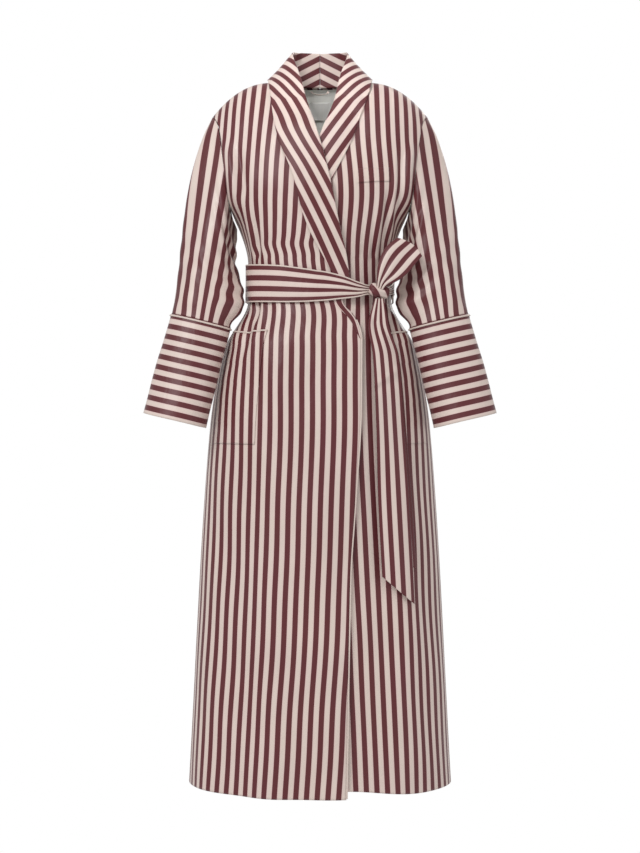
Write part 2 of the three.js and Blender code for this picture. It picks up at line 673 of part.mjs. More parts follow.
// The pale piping down the free edge of the upper front, from under the sash to the hem.
function makeFrontPiping() {
  const points = [];
  for (let i = 0; i <= 40; i += 1) {
    const q = mix(HEM + 2, WAIST_BOTTOM - 44, i / 40);
    const x = through(RIGHT_EDGE, 1, q) + PIPING_RADIUS + 1.2;
    const point = frontAt(x, q, lapOver(x));
    point.y -= SEAM_GAP / 2;
    points.push(point);
  }
  add('front_edge_piping', cordAlong(points, PIPING_RADIUS, 44, 5), CREAM);
}

// Inside the back neck: a loop to hang the robe by, and a blank label below it.
function makeNeckFittings() {
  const inside = (x, q, out) => onBody(1, angleAt(x, q), q, LINING_OFFSET - LINING / 2 - out);
  const label = (u, v) => {
    const x = (0.5 - u) * LABEL_WIDTH;
    return inside(x, -LABEL_DROP - LABEL_HEIGHT * (1 - v), LABEL_CLOTH / 2 + 0.9);
  };
  add('neck_label', cloth(label, 3, 3, LABEL_CLOTH), PALE);

  const half = HANGER_LOOP_SPAN / 2;
  const section = new THREE.Shape();
  section.moveTo(-0.6, -HANGER_LOOP_WIDTH / 2);
  section.lineTo(0.6, -HANGER_LOOP_WIDTH / 2);
  section.lineTo(0.6, HANGER_LOOP_WIDTH / 2);
  section.lineTo(-0.6, HANGER_LOOP_WIDTH / 2);
  const foot = BACK_NECK_DEPTH - CLOTH / 2 - LINING_GAP - LINING - 0.7;
  const points = [0, 0.15, 0.35, 0.5, 0.65, 0.85, 1].map((t) => {
    const turn = Math.PI * t;
    const x = -half * Math.cos(turn);
    return new THREE.Vector3(x, foot - 14 * Math.sin(turn), -HANGER_LOOP_HANG * Math.sin(turn) - 4);
  });
  const path = new THREE.CatmullRomCurve3(points);
  add('hanger_loop', new THREE.ExtrudeGeometry(section, { extrudePath: path, steps: 14 }), PALE);
}

makeBody();
makeCollar();
makeSleeve(-1, 'right');
makeSleeve(1, 'left');
makeSash();
makePockets();
makeBeltLoops();
makeFrontPiping();
makeNeckFittings();

export default robe;
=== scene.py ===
# %% [markdown]
# # A striped satin dressing gown
#
# The gown is a full-length wrap: two fronts that lap over each other, a back,
# two sleeves with deep turned cuffs, a shawl collar and a sash tied in a single
# bow. It hangs as it is worn, with nobody inside. Every piece of cloth here is a
# flat grid that is laid over one body shape, so neighbouring pieces always meet.

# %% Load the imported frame
import math

import bmesh
import bpy
import numpy as np
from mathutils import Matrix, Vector


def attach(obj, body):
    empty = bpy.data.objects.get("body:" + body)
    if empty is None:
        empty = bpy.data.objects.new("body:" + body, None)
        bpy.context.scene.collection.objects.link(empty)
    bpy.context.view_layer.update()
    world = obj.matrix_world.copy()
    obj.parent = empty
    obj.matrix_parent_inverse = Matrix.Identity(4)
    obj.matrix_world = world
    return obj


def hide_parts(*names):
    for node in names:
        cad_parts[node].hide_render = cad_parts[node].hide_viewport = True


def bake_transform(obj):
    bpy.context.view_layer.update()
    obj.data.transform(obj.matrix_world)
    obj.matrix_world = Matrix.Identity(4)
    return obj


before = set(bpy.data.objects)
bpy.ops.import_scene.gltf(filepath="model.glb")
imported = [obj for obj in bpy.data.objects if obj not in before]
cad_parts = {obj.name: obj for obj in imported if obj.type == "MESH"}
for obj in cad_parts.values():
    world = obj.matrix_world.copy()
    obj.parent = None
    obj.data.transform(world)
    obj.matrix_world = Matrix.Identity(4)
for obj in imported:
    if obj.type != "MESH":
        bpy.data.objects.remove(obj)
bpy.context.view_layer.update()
MM = 0.001
print("frame nodes:", len(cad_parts))

# %% [markdown]
# ## The body shape
#
# A tailor starts from a few measurements round the body. Each row below holds a
# height, a half width, and how far the cloth stands out in front and behind, all
# in millimetres from the neck seam. A smooth curve runs through the rows. The
# section at each height is a rounded rectangle, because hanging satin is flat in
# front and turns quickly at the sides.

# %% Measurements of the body
HEM, HIP, WAIST, UNDERARM = -1285.0, -634.0, -369.0, -270.0
SASH_HALF = 31.0
WAIST_TOP, WAIST_BOTTOM = WAIST + SASH_HALF + 2, WAIST - SASH_HALF - 2
NECK_HALF, SHOULDER_HALF, UNDERARM_HALF = 88.0, 197.0, 149.0
SHOULDER_DROP, SHOULDER_POWER = 62.0, 2.2
BACK_NECK_DEPTH = 55.0
SQUARE, ROUND = 2.5, 2.4
HEM_DIP, UNDER_HEM_RISE = 8.0, 13.0
BODY = np.array([
    [HEM, 241, 152, 140],
    [HIP, 202, 137, 124],
    [WAIST_BOTTOM + 0.38 * (HIP - WAIST_BOTTOM), 175, 124.4, 107.3],
    [WAIST_BOTTOM, 131, 100, 80],
    [WAIST_TOP, 131, 100, 80],
    [UNDERARM, 149, 108.6, 91.2],
    [0.74 * UNDERARM, 189.8, 112, 96],
    [0.44 * UNDERARM, 205, 103, 96],
    [0, 215, 84, 82.6],
])
ARMHOLE = np.array([[0, 0], [0.13, 0.27], [0.5, 0.54], [0.85, 0.78], [1, 1]])


def through(table, column, at):
    """A smooth curve through a table's rows that never overshoots them."""
    x, y = table[:, 0], table[:, column]
    rate = np.diff(y) / np.diff(x)
    slope = np.concatenate([rate[:1], np.zeros(len(x) - 2), rate[-1:]])
    both = rate[:-1] * rate[1:]
    total = np.where(both > 0, rate[:-1] + rate[1:], 1)
    slope[1:-1] = np.where(both > 0, 2 * both / total, 0)
    at = np.clip(at, x[0], x[-1])
    i = np.clip(np.searchsorted(x, at, side="left") - 1, 0, len(x) - 2)
    span = x[i + 1] - x[i]
    t = (at - x[i]) / span
    keep = (2 * t ** 3 - 3 * t ** 2 + 1) * y[i] + (3 * t ** 2 - 2 * t ** 3) * y[i + 1]
    return keep + span * ((t ** 3 - 2 * t ** 2 + t) * slope[i] + (t ** 3 - t ** 2) * slope[i + 1])


def smooth(at, low, high):
    """0 below low, 1 above high, and an S curve between."""
    t = np.clip((at - low) / (high - low), 0, 1)
    return t * t * (3 - 2 * t)


def mix(a, b, t):
    return a + (b - a) * t


def shoulder_height(x):
    out = (np.abs(x) - NECK_HALF) / (SHOULDER_HALF - NECK_HALF)
    return -SHOULDER_DROP * np.maximum(0, out) ** SHOULDER_POWER


def angle_at(x, q):
    share = np.minimum(1, np.abs(x) / through(BODY, 1, q))
    return np.sign(x) * np.arcsin(share ** (SQUARE / 2))


def seam_angle(q):
    share = np.maximum(0, (q - UNDERARM) / -UNDERARM)
    across = mix(UNDERARM_HALF, SHOULDER_HALF, through(ARMHOLE, 1, share))
    return np.where(share > 0, angle_at(across, q), math.pi / 2)


def body(face, angle, q):
    """A point of the cloth: face is -1 on the fronts and 1 on the back."""
    share = np.maximum(0, (q - UNDERARM) / -UNDERARM)
    power = 2 / SQUARE
    x = through(BODY, 1, q) * np.sign(np.sin(angle)) * np.abs(np.sin(angle)) ** power
    depth = through(BODY, 2 if face < 0 else 3, q)
    away = np.sign(np.cos(angle)) * np.abs(np.cos(angle)) ** power
    rounding = np.maximum(0, 1 - share ** ROUND) ** (1 / ROUND)
    rise = np.where(share > 0, UNDERARM + (shoulder_height(x) - UNDERARM) * share, q)
    fall = np.maximum(0, (WAIST - q) / (WAIST - HEM))
    dip = HEM_DIP * fall * np.cos(angle) ** 2 if face < 0 else 0
    neck = 0 if face < 0 else BACK_NECK_DEPTH * np.sqrt(np.maximum(0, 1 - (x / NECK_HALF) ** 2))
    out = np.where(share > 0, mix(neck, np.maximum(neck, depth * away), rounding), depth * away)
    return np.stack([x, face * out, rise - dip], axis=-1)


def normal_at(face, angle, q):
    step = 0.002
    up = np.minimum(q + 0.5, -0.01)
    along = body(face, angle + step, q) - body(face, angle - step, q)
    rise = body(face, angle, up) - body(face, angle, up - 1)
    normal = np.cross(along, rise)
    length = np.linalg.norm(normal, axis=-1, keepdims=True)
    return -face * normal / np.maximum(length, 1e-9)


print("half widths, hem to neck:", BODY[:, 1].tolist())

# %% [markdown]
# ## Folds
#
# Satin is never a smooth shell. The sash gathers it into short pleats that fade
# above and below the waist, the sleeves pull soft diagonal creases out of the
# armholes, and the skirt falls in long shallow waves. All of it is one height
# field over the body, so linings, pockets, collar and tails rise and fall with
# the cloth below them. It fades out at the seams, where two pieces must meet.

# %% The height field of the folds
# Rows: face, across and height of both ends, width, height of the crease.
CREASES = [
    (-1, -168, -95, -150, -240, 9, 5.0), (-1, -150, -120, -128, -262, 8, -4.0),
    (-1, -138, -205, -116, -318, 9, 3.6), (-1, -120, -250, -104, -330, 6, -2.6),
    (-1, 166, -100, 150, -235, 9, 4.6), (-1, 150, -120, 130, -300, 7, -5.0),
    (-1, 141, -150, 121, -330, 8, 4.6), (-1, 128, -190, 106, -345, 7, -3.4),
    (-1, 112, -215, 98, -350, 8, 2.6), (-1, -118, -408, -172, -500, 8, 3.6),
    (-1, -104, -410, -146, -520, 7, -3.0), (-1, -92, -408, -118, -470, 7, 2.2),
    (-1, 122, -410, 170, -500, 8, 3.8), (-1, 112, -408, 146, -540, 7, -3.4),
    (-1, 100, -408, 120, -500, 6, 2.4), (-1, -60, -420, -75, -640, 22, 1.6),
    (-1, -20, -700, -10, -1200, 34, 2.0), (-1, -120, -640, -140, -1270, 30, -2.4),
    (-1, 140, -560, 168, -1270, 26, 3.0), (-1, 105, -600, 118, -1270, 20, -2.6),
    (1, -120, -60, -70, -290, 18, 3.0), (1, 118, -70, 74, -300, 18, 3.2),
    (1, 0, -90, 6, -320, 26, -2.0), (1, -140, -230, -112, -330, 9, -3.6),
    (1, 140, -230, 110, -330, 9, -3.4),
]


def relief(face, x, q, angle):
    """How far the folds lift the cloth, in millimetres."""
    lift = np.zeros_like(x)
    for side, x0, q0, x1, q1, width, height in CREASES:
        if side != face:
            continue
        dx, dq = x1 - x0, q1 - q0
        length = math.hypot(dx, dq)
        t = ((x - x0) * dx + (q - q0) * dq) / length ** 2
        off = ((x - x0) * dq - (q - q0) * dx) / length
        ends = smooth(t, -0.08, 0.3) * (1 - smooth(t, 0.6, 1.1))
        lift += height * np.exp(-(off / width) ** 2) * ends
    gap = np.maximum(q - WAIST_TOP, WAIST_BOTTOM - q)
    gather = smooth(gap, 0, 14) * np.exp(-np.maximum(gap, 0) / 60)
    outer = smooth(np.abs(x), 30, 95) if face < 0 else 0.75
    wave = np.sin(x / 4.1 + 0.7 * np.sin(x / 17)) + 0.5 * np.sin(x / 2.7 + 1.3)
    lift += 1.3 * gather * outer * wave
    down = smooth(WAIST_BOTTOM - q, 40, 500)
    long_wave = np.sin(x / (19 if face < 0 else 15) + 0.4 * np.sin(q / 170) + (0.6 if face < 0 else 0))
    lift += (1.5 if face < 0 else 4.0) * down * long_wave
    lift += 0.9 * np.sin(q / 41 + x / 60) * np.sin(x / 23 + q / 130) * (1 - np.exp(-np.maximum(gap, 0) / 40))
    return 1.5 * lift * (1 - np.abs(np.sin(angle)) ** 14) * smooth(-q, 6, 60)


def skin(face, angle, q, out):
    """The cloth's surface with its folds, moved outwards by a distance."""
    base = body(face, angle, q)
    lift = relief(face, base[..., 0], q, angle) + out
    return base + normal_at(face, angle, q) * lift[..., None]


def front_at(x, q, out):
    return skin(-1, angle_at(x, q), q, out)


print("creases:", len(CREASES))

# %% [markdown]
# ## Cutting a sheet of cloth
#
# Every piece starts as a flat grid. Each vertex of the grid is moved to its place
# on the body, and its UV coordinate says where it lay on the flat cloth, in
# metres. The stripes are drawn in those flat coordinates, so they follow the
# grain of each piece, bend with it and are cut off at its edges as real ones are.

# %% A grid laid over a surface
pieces = {}


def cloth(name, columns, rows, surface, flat, thickness, finish, closed=False):
    """surface and flat take the grid's u and v and give millimetres."""
    bm = bmesh.new()
    bmesh.ops.create_grid(bm, x_segments=columns, y_segments=rows, size=0.5)
    bm.verts.ensure_lookup_table()
    place = np.array([v.co[:2] for v in bm.verts]) + 0.5
    i = np.rint(place[:, 0] * columns).astype(int)
    j = np.rint(place[:, 1] * rows).astype(int)
    u, v = np.meshgrid(np.arange(columns + 1) / columns, np.arange(rows + 1) / rows)
    points = surface(u, v)
    weave = flat(u, v, points)
    for vert, co in zip(bm.verts, points[j, i] * MM):
        vert.co = co
    layer = bm.loops.layers.uv.new("UVMap")
    corner = weave[j, i] * MM
    for face in bm.faces:
        face.smooth = True
        for loop in face.loops:
            loop[layer].uv = corner[loop.vert.index]
    if closed:
        bmesh.ops.remove_doubles(bm, verts=bm.verts, dist=1e-6)
    mesh = bpy.data.meshes.new(name)
    bm.to_mesh(mesh)
    bm.free()
    piece = bpy.data.objects.new(name, mesh)
    bpy.context.scene.collection.objects.link(piece)
    mesh.materials.append(finish)
    wall = piece.modifiers.new("thickness", "SOLIDIFY")
    wall.thickness = thickness * MM
    wall.offset = 0
    pieces[name] = piece
    return piece, points


def declare(piece, bodyname, node):
    """Hides the frame's node that the piece stands for and, when a body is given, attaches the piece to it.
    """
    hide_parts(node)
    if bodyname:
        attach(piece, bodyname)


def outward(piece, centre):
    """Turns the faces so that they point away from a centre line given by height."""
    mesh = piece.data
    co = np.array([p.center[:] for p in mesh.polygons])
    no = np.array([p.normal[:] for p in mesh.polygons])
    if ((co - centre(co)) * no).sum() < 0:
        mesh.flip_normals()


# %% [markdown]
# ## Stripes, weave and sheen
#
# The cloth is woven with broad burgundy and cream stripes of almost equal width,
# one pair every 19 millimetres. Two node groups draw it. The first gives the
# stripes with a soft edge and a warm tinge beside each dark one. The second is
# the satin itself: fine threads along the stripe, slow blotches of lighter and
# darker tone that are a painted satin sheen, and a height for a Bump node. Sheen
# weight and gloss stay on the shader, where one number holds for the whole cloth.

# %% Node groups for the woven stripes and the satin threads
PERIOD = 19.0


def new_group(name, sockets):
    group = bpy.data.node_groups.new(name, "ShaderNodeTree")
    for label, way, kind, value in sockets:
        socket = group.interface.new_socket(name=label, in_out=way, socket_type=kind)
        if value is not None:
            socket.default_value = value
    nodes = group.nodes
    return group, nodes.new("NodeGroupInput"), nodes.new("NodeGroupOutput")


def math_node(tree, kind, a, b=None, c=None):
    node = tree.nodes.new("ShaderNodeMath")
    node.operation = kind
    for socket, value in zip(node.inputs, (a, b, c)):
        if value is None:
            continue
        if isinstance(value, (int, float)):
            socket.default_value = value
        else:
            tree.links.new(value, socket)
    return node.outputs[0]


def step_node(tree, value, low, high):
    node = tree.nodes.new("ShaderNodeMapRange")
    node.interpolation_type = "SMOOTHSTEP"
    tree.links.new(value, node.inputs["Value"])
    node.inputs["From Min"].default_value = low
    node.inputs["From Max"].default_value = high
    return node.outputs["Result"]


def mix_node(tree, share, a, b, kind="MIX"):
    node = tree.nodes.new("ShaderNodeMix")
    node.data_type = "RGBA"
    node.blend_type = kind
    for socket, value in ((node.inputs[0], share), (node.inputs[6], a), (node.inputs[7], b)):
        if isinstance(value, (int, float, tuple)):
            socket.default_value = value
        else:
            tree.links.new(value, socket)
    return node.outputs[2]


def noise_node(tree, vector, scale, detail, stretch=(1, 1, 1)):
    mapping = tree.nodes.new("ShaderNodeMapping")
    mapping.inputs["Scale"].default_value = stretch
    tree.links.new(vector, mapping.inputs["Vector"])
    node = tree.nodes.new("ShaderNodeTexNoise")
    node.inputs["Scale"].default_value = scale
    node.inputs["Detail"].default_value = detail
    tree.links.new(mapping.outputs[0], node.inputs["Vector"])
    return node.outputs["Fac"]


def woven_stripes():
    group, start, end = new_group("woven_stripes", [
        ("Cloth", "INPUT", "NodeSocketVector", None),
        ("Dark", "INPUT", "NodeSocketColor", (0.1, 0.02, 0.03, 1)),
        ("Light", "INPUT", "NodeSocketColor", (0.8, 0.7, 0.6, 1)),
        ("Tinge", "INPUT", "NodeSocketColor", (0.8, 0.6, 0.55, 1)),
        ("Colour", "OUTPUT", "NodeSocketColor", None),
        ("Dark stripe", "OUTPUT", "NodeSocketFloat", None),
    ])
    split = group.nodes.new("ShaderNodeSeparateXYZ")
    group.links.new(start.outputs["Cloth"], split.inputs[0])
    turns = math_node(group, "DIVIDE", split.outputs[0], PERIOD * MM)
    place = math_node(group, "FRACT", math_node(group, "ADD", turns, 0.5))
    away = math_node(group, "MULTIPLY", math_node(group, "ABSOLUTE",
                     math_node(group, "SUBTRACT", place, 0.5)), 2.0)
    light = step_node(group, away, 0.475, 0.525)
    beside = math_node(group, "SUBTRACT", 1.0, step_node(group, away, 0.5, 0.78))
    pale = mix_node(group, beside, start.outputs["Light"], start.outputs["Tinge"])
    colour = mix_node(group, light, start.outputs["Dark"], pale)
    group.links.new(colour, end.inputs["Colour"])
    group.links.new(math_node(group, "SUBTRACT", 1.0, light), end.inputs["Dark stripe"])
    return group


def satin_threads_and_sheen():
    group, start, end = new_group("satin_threads_and_sheen", [
        ("Cloth", "INPUT", "NodeSocketVector", None),
        ("Object", "INPUT", "NodeSocketVector", None),
        ("Tone", "OUTPUT", "NodeSocketFloat", None),
        ("Roughness", "OUTPUT", "NodeSocketFloat", None),
        ("Height", "OUTPUT", "NodeSocketFloat", None),
    ])
    cloth_at, at = start.outputs["Cloth"], start.outputs["Object"]
    thread = noise_node(group, cloth_at, 1.0, 3, (2600, 90, 1))
    slub = noise_node(group, cloth_at, 1.0, 2, (420, 14, 1))
    # Slow blotches of lighter and darker tone over the cloth: a painted satin sheen in the tone, which also
    # varies the roughness.
    painted_sheen = noise_node(group, at, 9.0, 3)
    crumple = noise_node(group, at, 26.0, 4, (1, 1, 0.45))
    tone = math_node(group, "ADD", math_node(group, "MULTIPLY", thread, 0.10),
                     math_node(group, "MULTIPLY", slub, 0.10))
    tone = math_node(group, "ADD", tone, math_node(group, "MULTIPLY", painted_sheen, 0.16))
    group.links.new(math_node(group, "ADD", tone, 0.80), end.inputs["Tone"])
    rough = math_node(group, "MULTIPLY_ADD", painted_sheen, 0.20, 0.31)
    group.links.new(math_node(group, "MULTIPLY_ADD", slub, 0.06, rough), end.inputs["Roughness"])
    height = math_node(group, "ADD", math_node(group, "MULTIPLY", thread, 0.02),
                       math_node(group, "MULTIPLY", crumple, 1.0))
    group.links.new(height, end.inputs["Height"])
    return group


STRIPES, THREADS_AND_SHEEN = woven_stripes(), satin_threads_and_sheen()

# %% [markdown]
# The finishes share those groups and differ in their colours. The dark and light
# colours are set so that the lit cloth reads as a deep burgundy and a warm
# ivory. The lining is a paler, greyer satin with no stripe. Piping is the ivory
# satin cut on its own, with the threads running along the cord.

# %% Finishes
BURGUNDY = (0.106, 0.015, 0.019, 1)
IVORY = (0.690, 0.575, 0.515, 1)
TINGE = (0.690, 0.505, 0.475, 1)
SILVER = (0.930, 0.930, 0.880, 1)
PAPER = (0.960, 0.955, 0.920, 1)


def satin(name, stripes=True, colour=IVORY, sheen=0.12, crumple=0.6):
    material = bpy.data.materials.new(name)
    material.use_nodes = True
    tree = material.node_tree
    shader = tree.nodes["Principled BSDF"]
    where = tree.nodes.new("ShaderNodeTexCoord")
    threads = tree.nodes.new("ShaderNodeGroup")
    threads.node_tree = THREADS_AND_SHEEN
    tree.links.new(where.outputs["UV"], threads.inputs["Cloth"])
    tree.links.new(where.outputs["Object"], threads.inputs["Object"])
    base = colour
    if stripes:
        weave = tree.nodes.new("ShaderNodeGroup")
        weave.node_tree = STRIPES
        weave.inputs["Dark"].default_value = BURGUNDY
        weave.inputs["Light"].default_value = IVORY
        weave.inputs["Tinge"].default_value = TINGE
        tree.links.new(where.outputs["UV"], weave.inputs["Cloth"])
        base = weave.outputs["Colour"]
    tone = tree.nodes.new("ShaderNodeCombineColor")
    for socket in tone.inputs[:3]:
        tree.links.new(threads.outputs["Tone"], socket)
    tree.links.new(mix_node(tree, 1.0, base, tone.outputs[0], "MULTIPLY"), shader.inputs["Base Color"])
    tree.links.new(threads.outputs["Roughness"], shader.inputs["Roughness"])
    bump = tree.nodes.new("ShaderNodeBump")
    bump.inputs["Strength"].default_value = crumple
    bump.inputs["Distance"].default_value = 0.006
    tree.links.new(threads.outputs["Height"], bump.inputs["Height"])
    tree.links.new(bump.outputs[0], shader.inputs["Normal"])
    shader.inputs["Sheen Weight"].default_value = sheen
    shader.inputs["Sheen Roughness"].default_value = 0.45
    shader.inputs["Specular IOR Level"].default_value = 0.42
    return material


STRIPED = satin("striped_satin")
CREAM = satin("ivory_piping", stripes=False, sheen=0.2, crumple=0.2)
LINING = satin("silver_lining", stripes=False, colour=SILVER, sheen=0.15, crumple=0.3)
LABEL = satin("blank_label", stripes=False, colour=PAPER, sheen=0.1, crumple=0.1)
print("finishes:", [m.name for m in (STRIPED, CREAM, LINING, LABEL)])

# %% [markdown]
# ## Fronts and back
#
# The stripes of a front run parallel to its straight edge below the waist and
# upright on the chest. One guide stripe of each front is written down as a line,
# and every other stripe is a distance along the cloth from it. Near the waist the
# same cloth is pulled into less width, so the stripes stand a little closer.

# %% Edges, guide stripes and the spacing of the stripes
RIGHT_EDGE = np.array([
    [HEM, 46], [-900, 53], [-760, 62], [-600, 71], [-480, 72], [-440, 60], [-408, 37],
    [WAIST, 36], [-340, 28], [-265, 4], [-190, -14], [-110, -40], [-50, -60], [0, -84],
])
LEFT_EDGE = np.array([
    [HEM, -60], [WAIST, -48], [-270, -22], [-190, 0], [-110, 30], [-50, 58], [0, 84],
])
RIGHT_GUIDE = np.array([
    [HEM, -133], [-950, -116], [-600, -106], [-480, -104], [-425, -98],
    [-300, -107], [-220, -115], [0, -101],
])
LEFT_GUIDE = np.array([
    [HEM, 120], [-940, 104], [-600, 88], [-425, 85], [-332, 82], [-211, 93], [-100, 86], [0, 84],
])
LAP_OUT = 8.5


def lap_over(x, q):
    """The right front lies over the left one, and comes up to it gradually."""
    return LAP_OUT * smooth(x, -150, -66) * smooth(-q, 20, 130)


def heights(v):
    """Heights of the rows, from the hem to the shoulder, closer near the top."""
    low = np.clip(v / 0.76, 0, 1)
    turn = np.clip((v - 0.76) / 0.24, 0, 1) * math.pi / 2
    share = np.sin(turn) ** (2 / ROUND)
    return np.where(v <= 0.76, mix(HEM, UNDERARM, low), UNDERARM * (1 - share))


def under_rise(x, q):
    fall = np.maximum(0, (WAIST - q) / (WAIST - HEM))
    return UNDER_HEM_RISE * fall * (1 - smooth(x, 40, 200))


def panel(side, edge, offset, lift=0.0):
    """A front: side -1 is the wearer's right one. offset moves it in or out."""
    def surface(u, v):
        q = heights(v) + lift * np.maximum(0, 1 - v * 12)
        inner = angle_at(through(edge, 1, q), q)
        angle = mix(side * seam_angle(q), inner, u if side < 0 else 1 - u)
        x = body(-1, angle, q)[..., 0]
        lap = lap_over(x, q) if side < 0 else 0
        point = skin(-1, angle, q, lap + offset)
        point[..., 1] -= 0.25
        if side > 0:
            point[..., 2] += under_rise(x, q)
        return point
    return surface


def back(offset, lift=0.0):
    def surface(u, v):
        q = heights(v) + lift * np.maximum(0, 1 - v * 12)
        angle = mix(-seam_angle(q), seam_angle(q), u)
        point = skin(1, angle, q, offset + 0 * q)
        point[..., 1] += 0.25
        return point
    return surface


def squeeze(q):
    return 1 - 0.14 * np.exp(-((q + 345) / 80) ** 2)


def along_rows(points, guide, v):
    """Distance along the cloth from the guide stripe, row by row."""
    q = heights(v[:, 0])
    step = np.linalg.norm(np.diff(points, axis=1), axis=-1)
    middle = (points[:, 1:, 0] + points[:, :-1, 0]) / 2
    at = through(guide, 1, q)
    near_waist = np.exp(-((q - WAIST) / 120) ** 2)[:, None]
    side = 0.42 * near_waist * smooth(np.abs(middle) - np.abs(at)[:, None], 8, 60)
    step = step / (squeeze(q)[:, None] * (1 - side))
    total = np.concatenate([np.zeros((len(step), 1)), np.cumsum(step, axis=1)], axis=1)
    start = [np.interp(a, xs, t) for a, xs, t in zip(at, points[..., 0], total)]
    return total - np.array(start)[:, None]


def grain(guide):
    def flat(u, v, points):
        return np.stack([along_rows(points, guide, v), heights(v)], axis=-1)
    return flat


MIDDLE = np.array([[HEM, 0.0], [-600, 0.0], [0, 0.0]])


def axis_of(co):
    centre = co * 0
    centre[:, 2] = co[:, 2]
    return centre


right_front, points = cloth("right_front_satin", 96, 300, panel(-1, RIGHT_EDGE, 0.0),
                            grain(RIGHT_GUIDE), 1.0, STRIPED)
outward(right_front, axis_of)
declare(right_front, "robe", "right_front")
left_front, points = cloth("left_front_satin", 96, 300, panel(1, LEFT_EDGE, 0.0),
                           grain(LEFT_GUIDE), 1.0, STRIPED)
outward(left_front, axis_of)
declare(left_front, "robe", "left_front")
back_satin, points = cloth("back_satin", 144, 280, back(0.0), grain(MIDDLE), 1.0, STRIPED)
outward(back_satin, axis_of)
declare(back_satin, "robe", "back_panel")

# %% [markdown]
# The lining is cut like the shell but finished shorter, so that it never shows
# below the hem. It is a separate thin sheet just inside each piece.

# %% Linings of the body
for word, side, edge in (("right", -1, RIGHT_EDGE), ("left", 1, LEFT_EDGE)):
    sheet, points = cloth(f"{word}_front_inside", 48, 150, panel(side, edge, -2.4, 22.0),
                          grain(RIGHT_GUIDE if side < 0 else LEFT_GUIDE), 0.5, LINING)
    outward(sheet, axis_of)
    declare(sheet,
            "robe", f"{word}_front_lining")
sheet, points = cloth("back_inside", 72, 150, back(-2.4, 22.0), grain(MIDDLE), 0.5, LINING)
outward(sheet, axis_of)
declare(sheet, "robe", "back_lining")

# %% [markdown]
# ## The shawl collar
#
# A shawl collar is folded along a roll edge. Its outer layer lies on the front
# from the free edge to the roll, and its under layer goes back down to the neck
# seam. Both layers are one sheet here: the grid runs across the outer layer,
# turns round a small arc at the roll, and comes back underneath. Three lines
# give its shape: free edge, roll edge and seam.

# %% Collar lines
RIGHT_COLLAR = (
    [(32, None, -380), (-4, None, -312), (-27, None, -262), (-47, None, -191), (-77, None, -112),
     (-88, None, -50), (-93, -36, -10), (-94, 4, 5), (-66, 55, -12), (-0.5, 69, -12)],
    [(52, None, -380), (44, None, -316), (34, None, -272), (20, None, -204), (-3, None, -113),
     (-24, None, -45), (-38, -30, 10), (-51, 10, 56), (-38, 38, 63), (-0.5, 51, 64)],
    [(38, None, -380), (22, None, -312), (5, None, -262), (-12, None, -191), (-38, None, -112),
     (-60, None, -50), (-78, -33, -8), (-84, 6, 0), (-56, 40, 1), (-0.5, 52, 1)],
)
LEFT_COLLAR = (
    [(-36, None, -380), (-20, None, -312), (0, None, -250), (20, None, -195), (54, None, -126),
     (78, None, -60), (93, -36, -10), (94, 4, 5), (66, 55, -12), (0.5, 69, -12)],
    [(-56, None, -380), (-52, None, -316), (-42, None, -262), (-24, None, -192), (-1, None, -113),
     (26, None, -42), (38, -30, 10), (51, 10, 56), (38, 38, 63), (0.5, 51, 64)],
    [(-42, None, -380), (-36, None, -316), (-22, None, -255), (-2, None, -194), (30, None, -120),
     (60, None, -55), (78, -33, -8), (84, 6, 0), (56, 40, 1), (0.5, 52, 1)],
)


def stations(line):
    points = []
    for x, y, z in line:
        spot = front_at(np.array(float(x)), np.array(float(z)), 0.0) if y is None else (x, y, z)
        points.append(np.array([x, spot[1], z]))
    return np.array(points)


def curve(points, knots, at):
    """A smooth line through points, reached at the given knots."""
    slope = np.gradient(points, knots, axis=0)
    i = np.clip(np.searchsorted(knots, at) - 1, 0, len(knots) - 2)
    span = (knots[i + 1] - knots[i])[..., None]
    t = (at - knots[i])[..., None] / span
    keep = (2 * t ** 3 - 3 * t ** 2 + 1) * points[i] + (3 * t ** 2 - 2 * t ** 3) * points[i + 1]
    return keep + span * ((t ** 3 - 2 * t ** 2 + t) * slope[i] + (t ** 3 - t ** 2) * slope[i + 1])


def clear_of(point, distance):
    """Moves points of the collar out until they are clear of the cloth below."""
    for face in (-1, 1):
        x, z = point[..., 0], point[..., 2]
        share = np.minimum(0.998, (z - UNDERARM) / (shoulder_height(x) - UNDERARM))
        q = np.where(share > 0, UNDERARM * (1 - share), z)
        angle = angle_at(x, q)
        base, normal = skin(face, angle, q, 0.0), normal_at(face, angle, q)
        short = np.maximum(0, distance - (normal * (point - base)).sum(-1))
        point = point + normal * (short * (point[..., 1] * face > 0))[..., None]
    return point


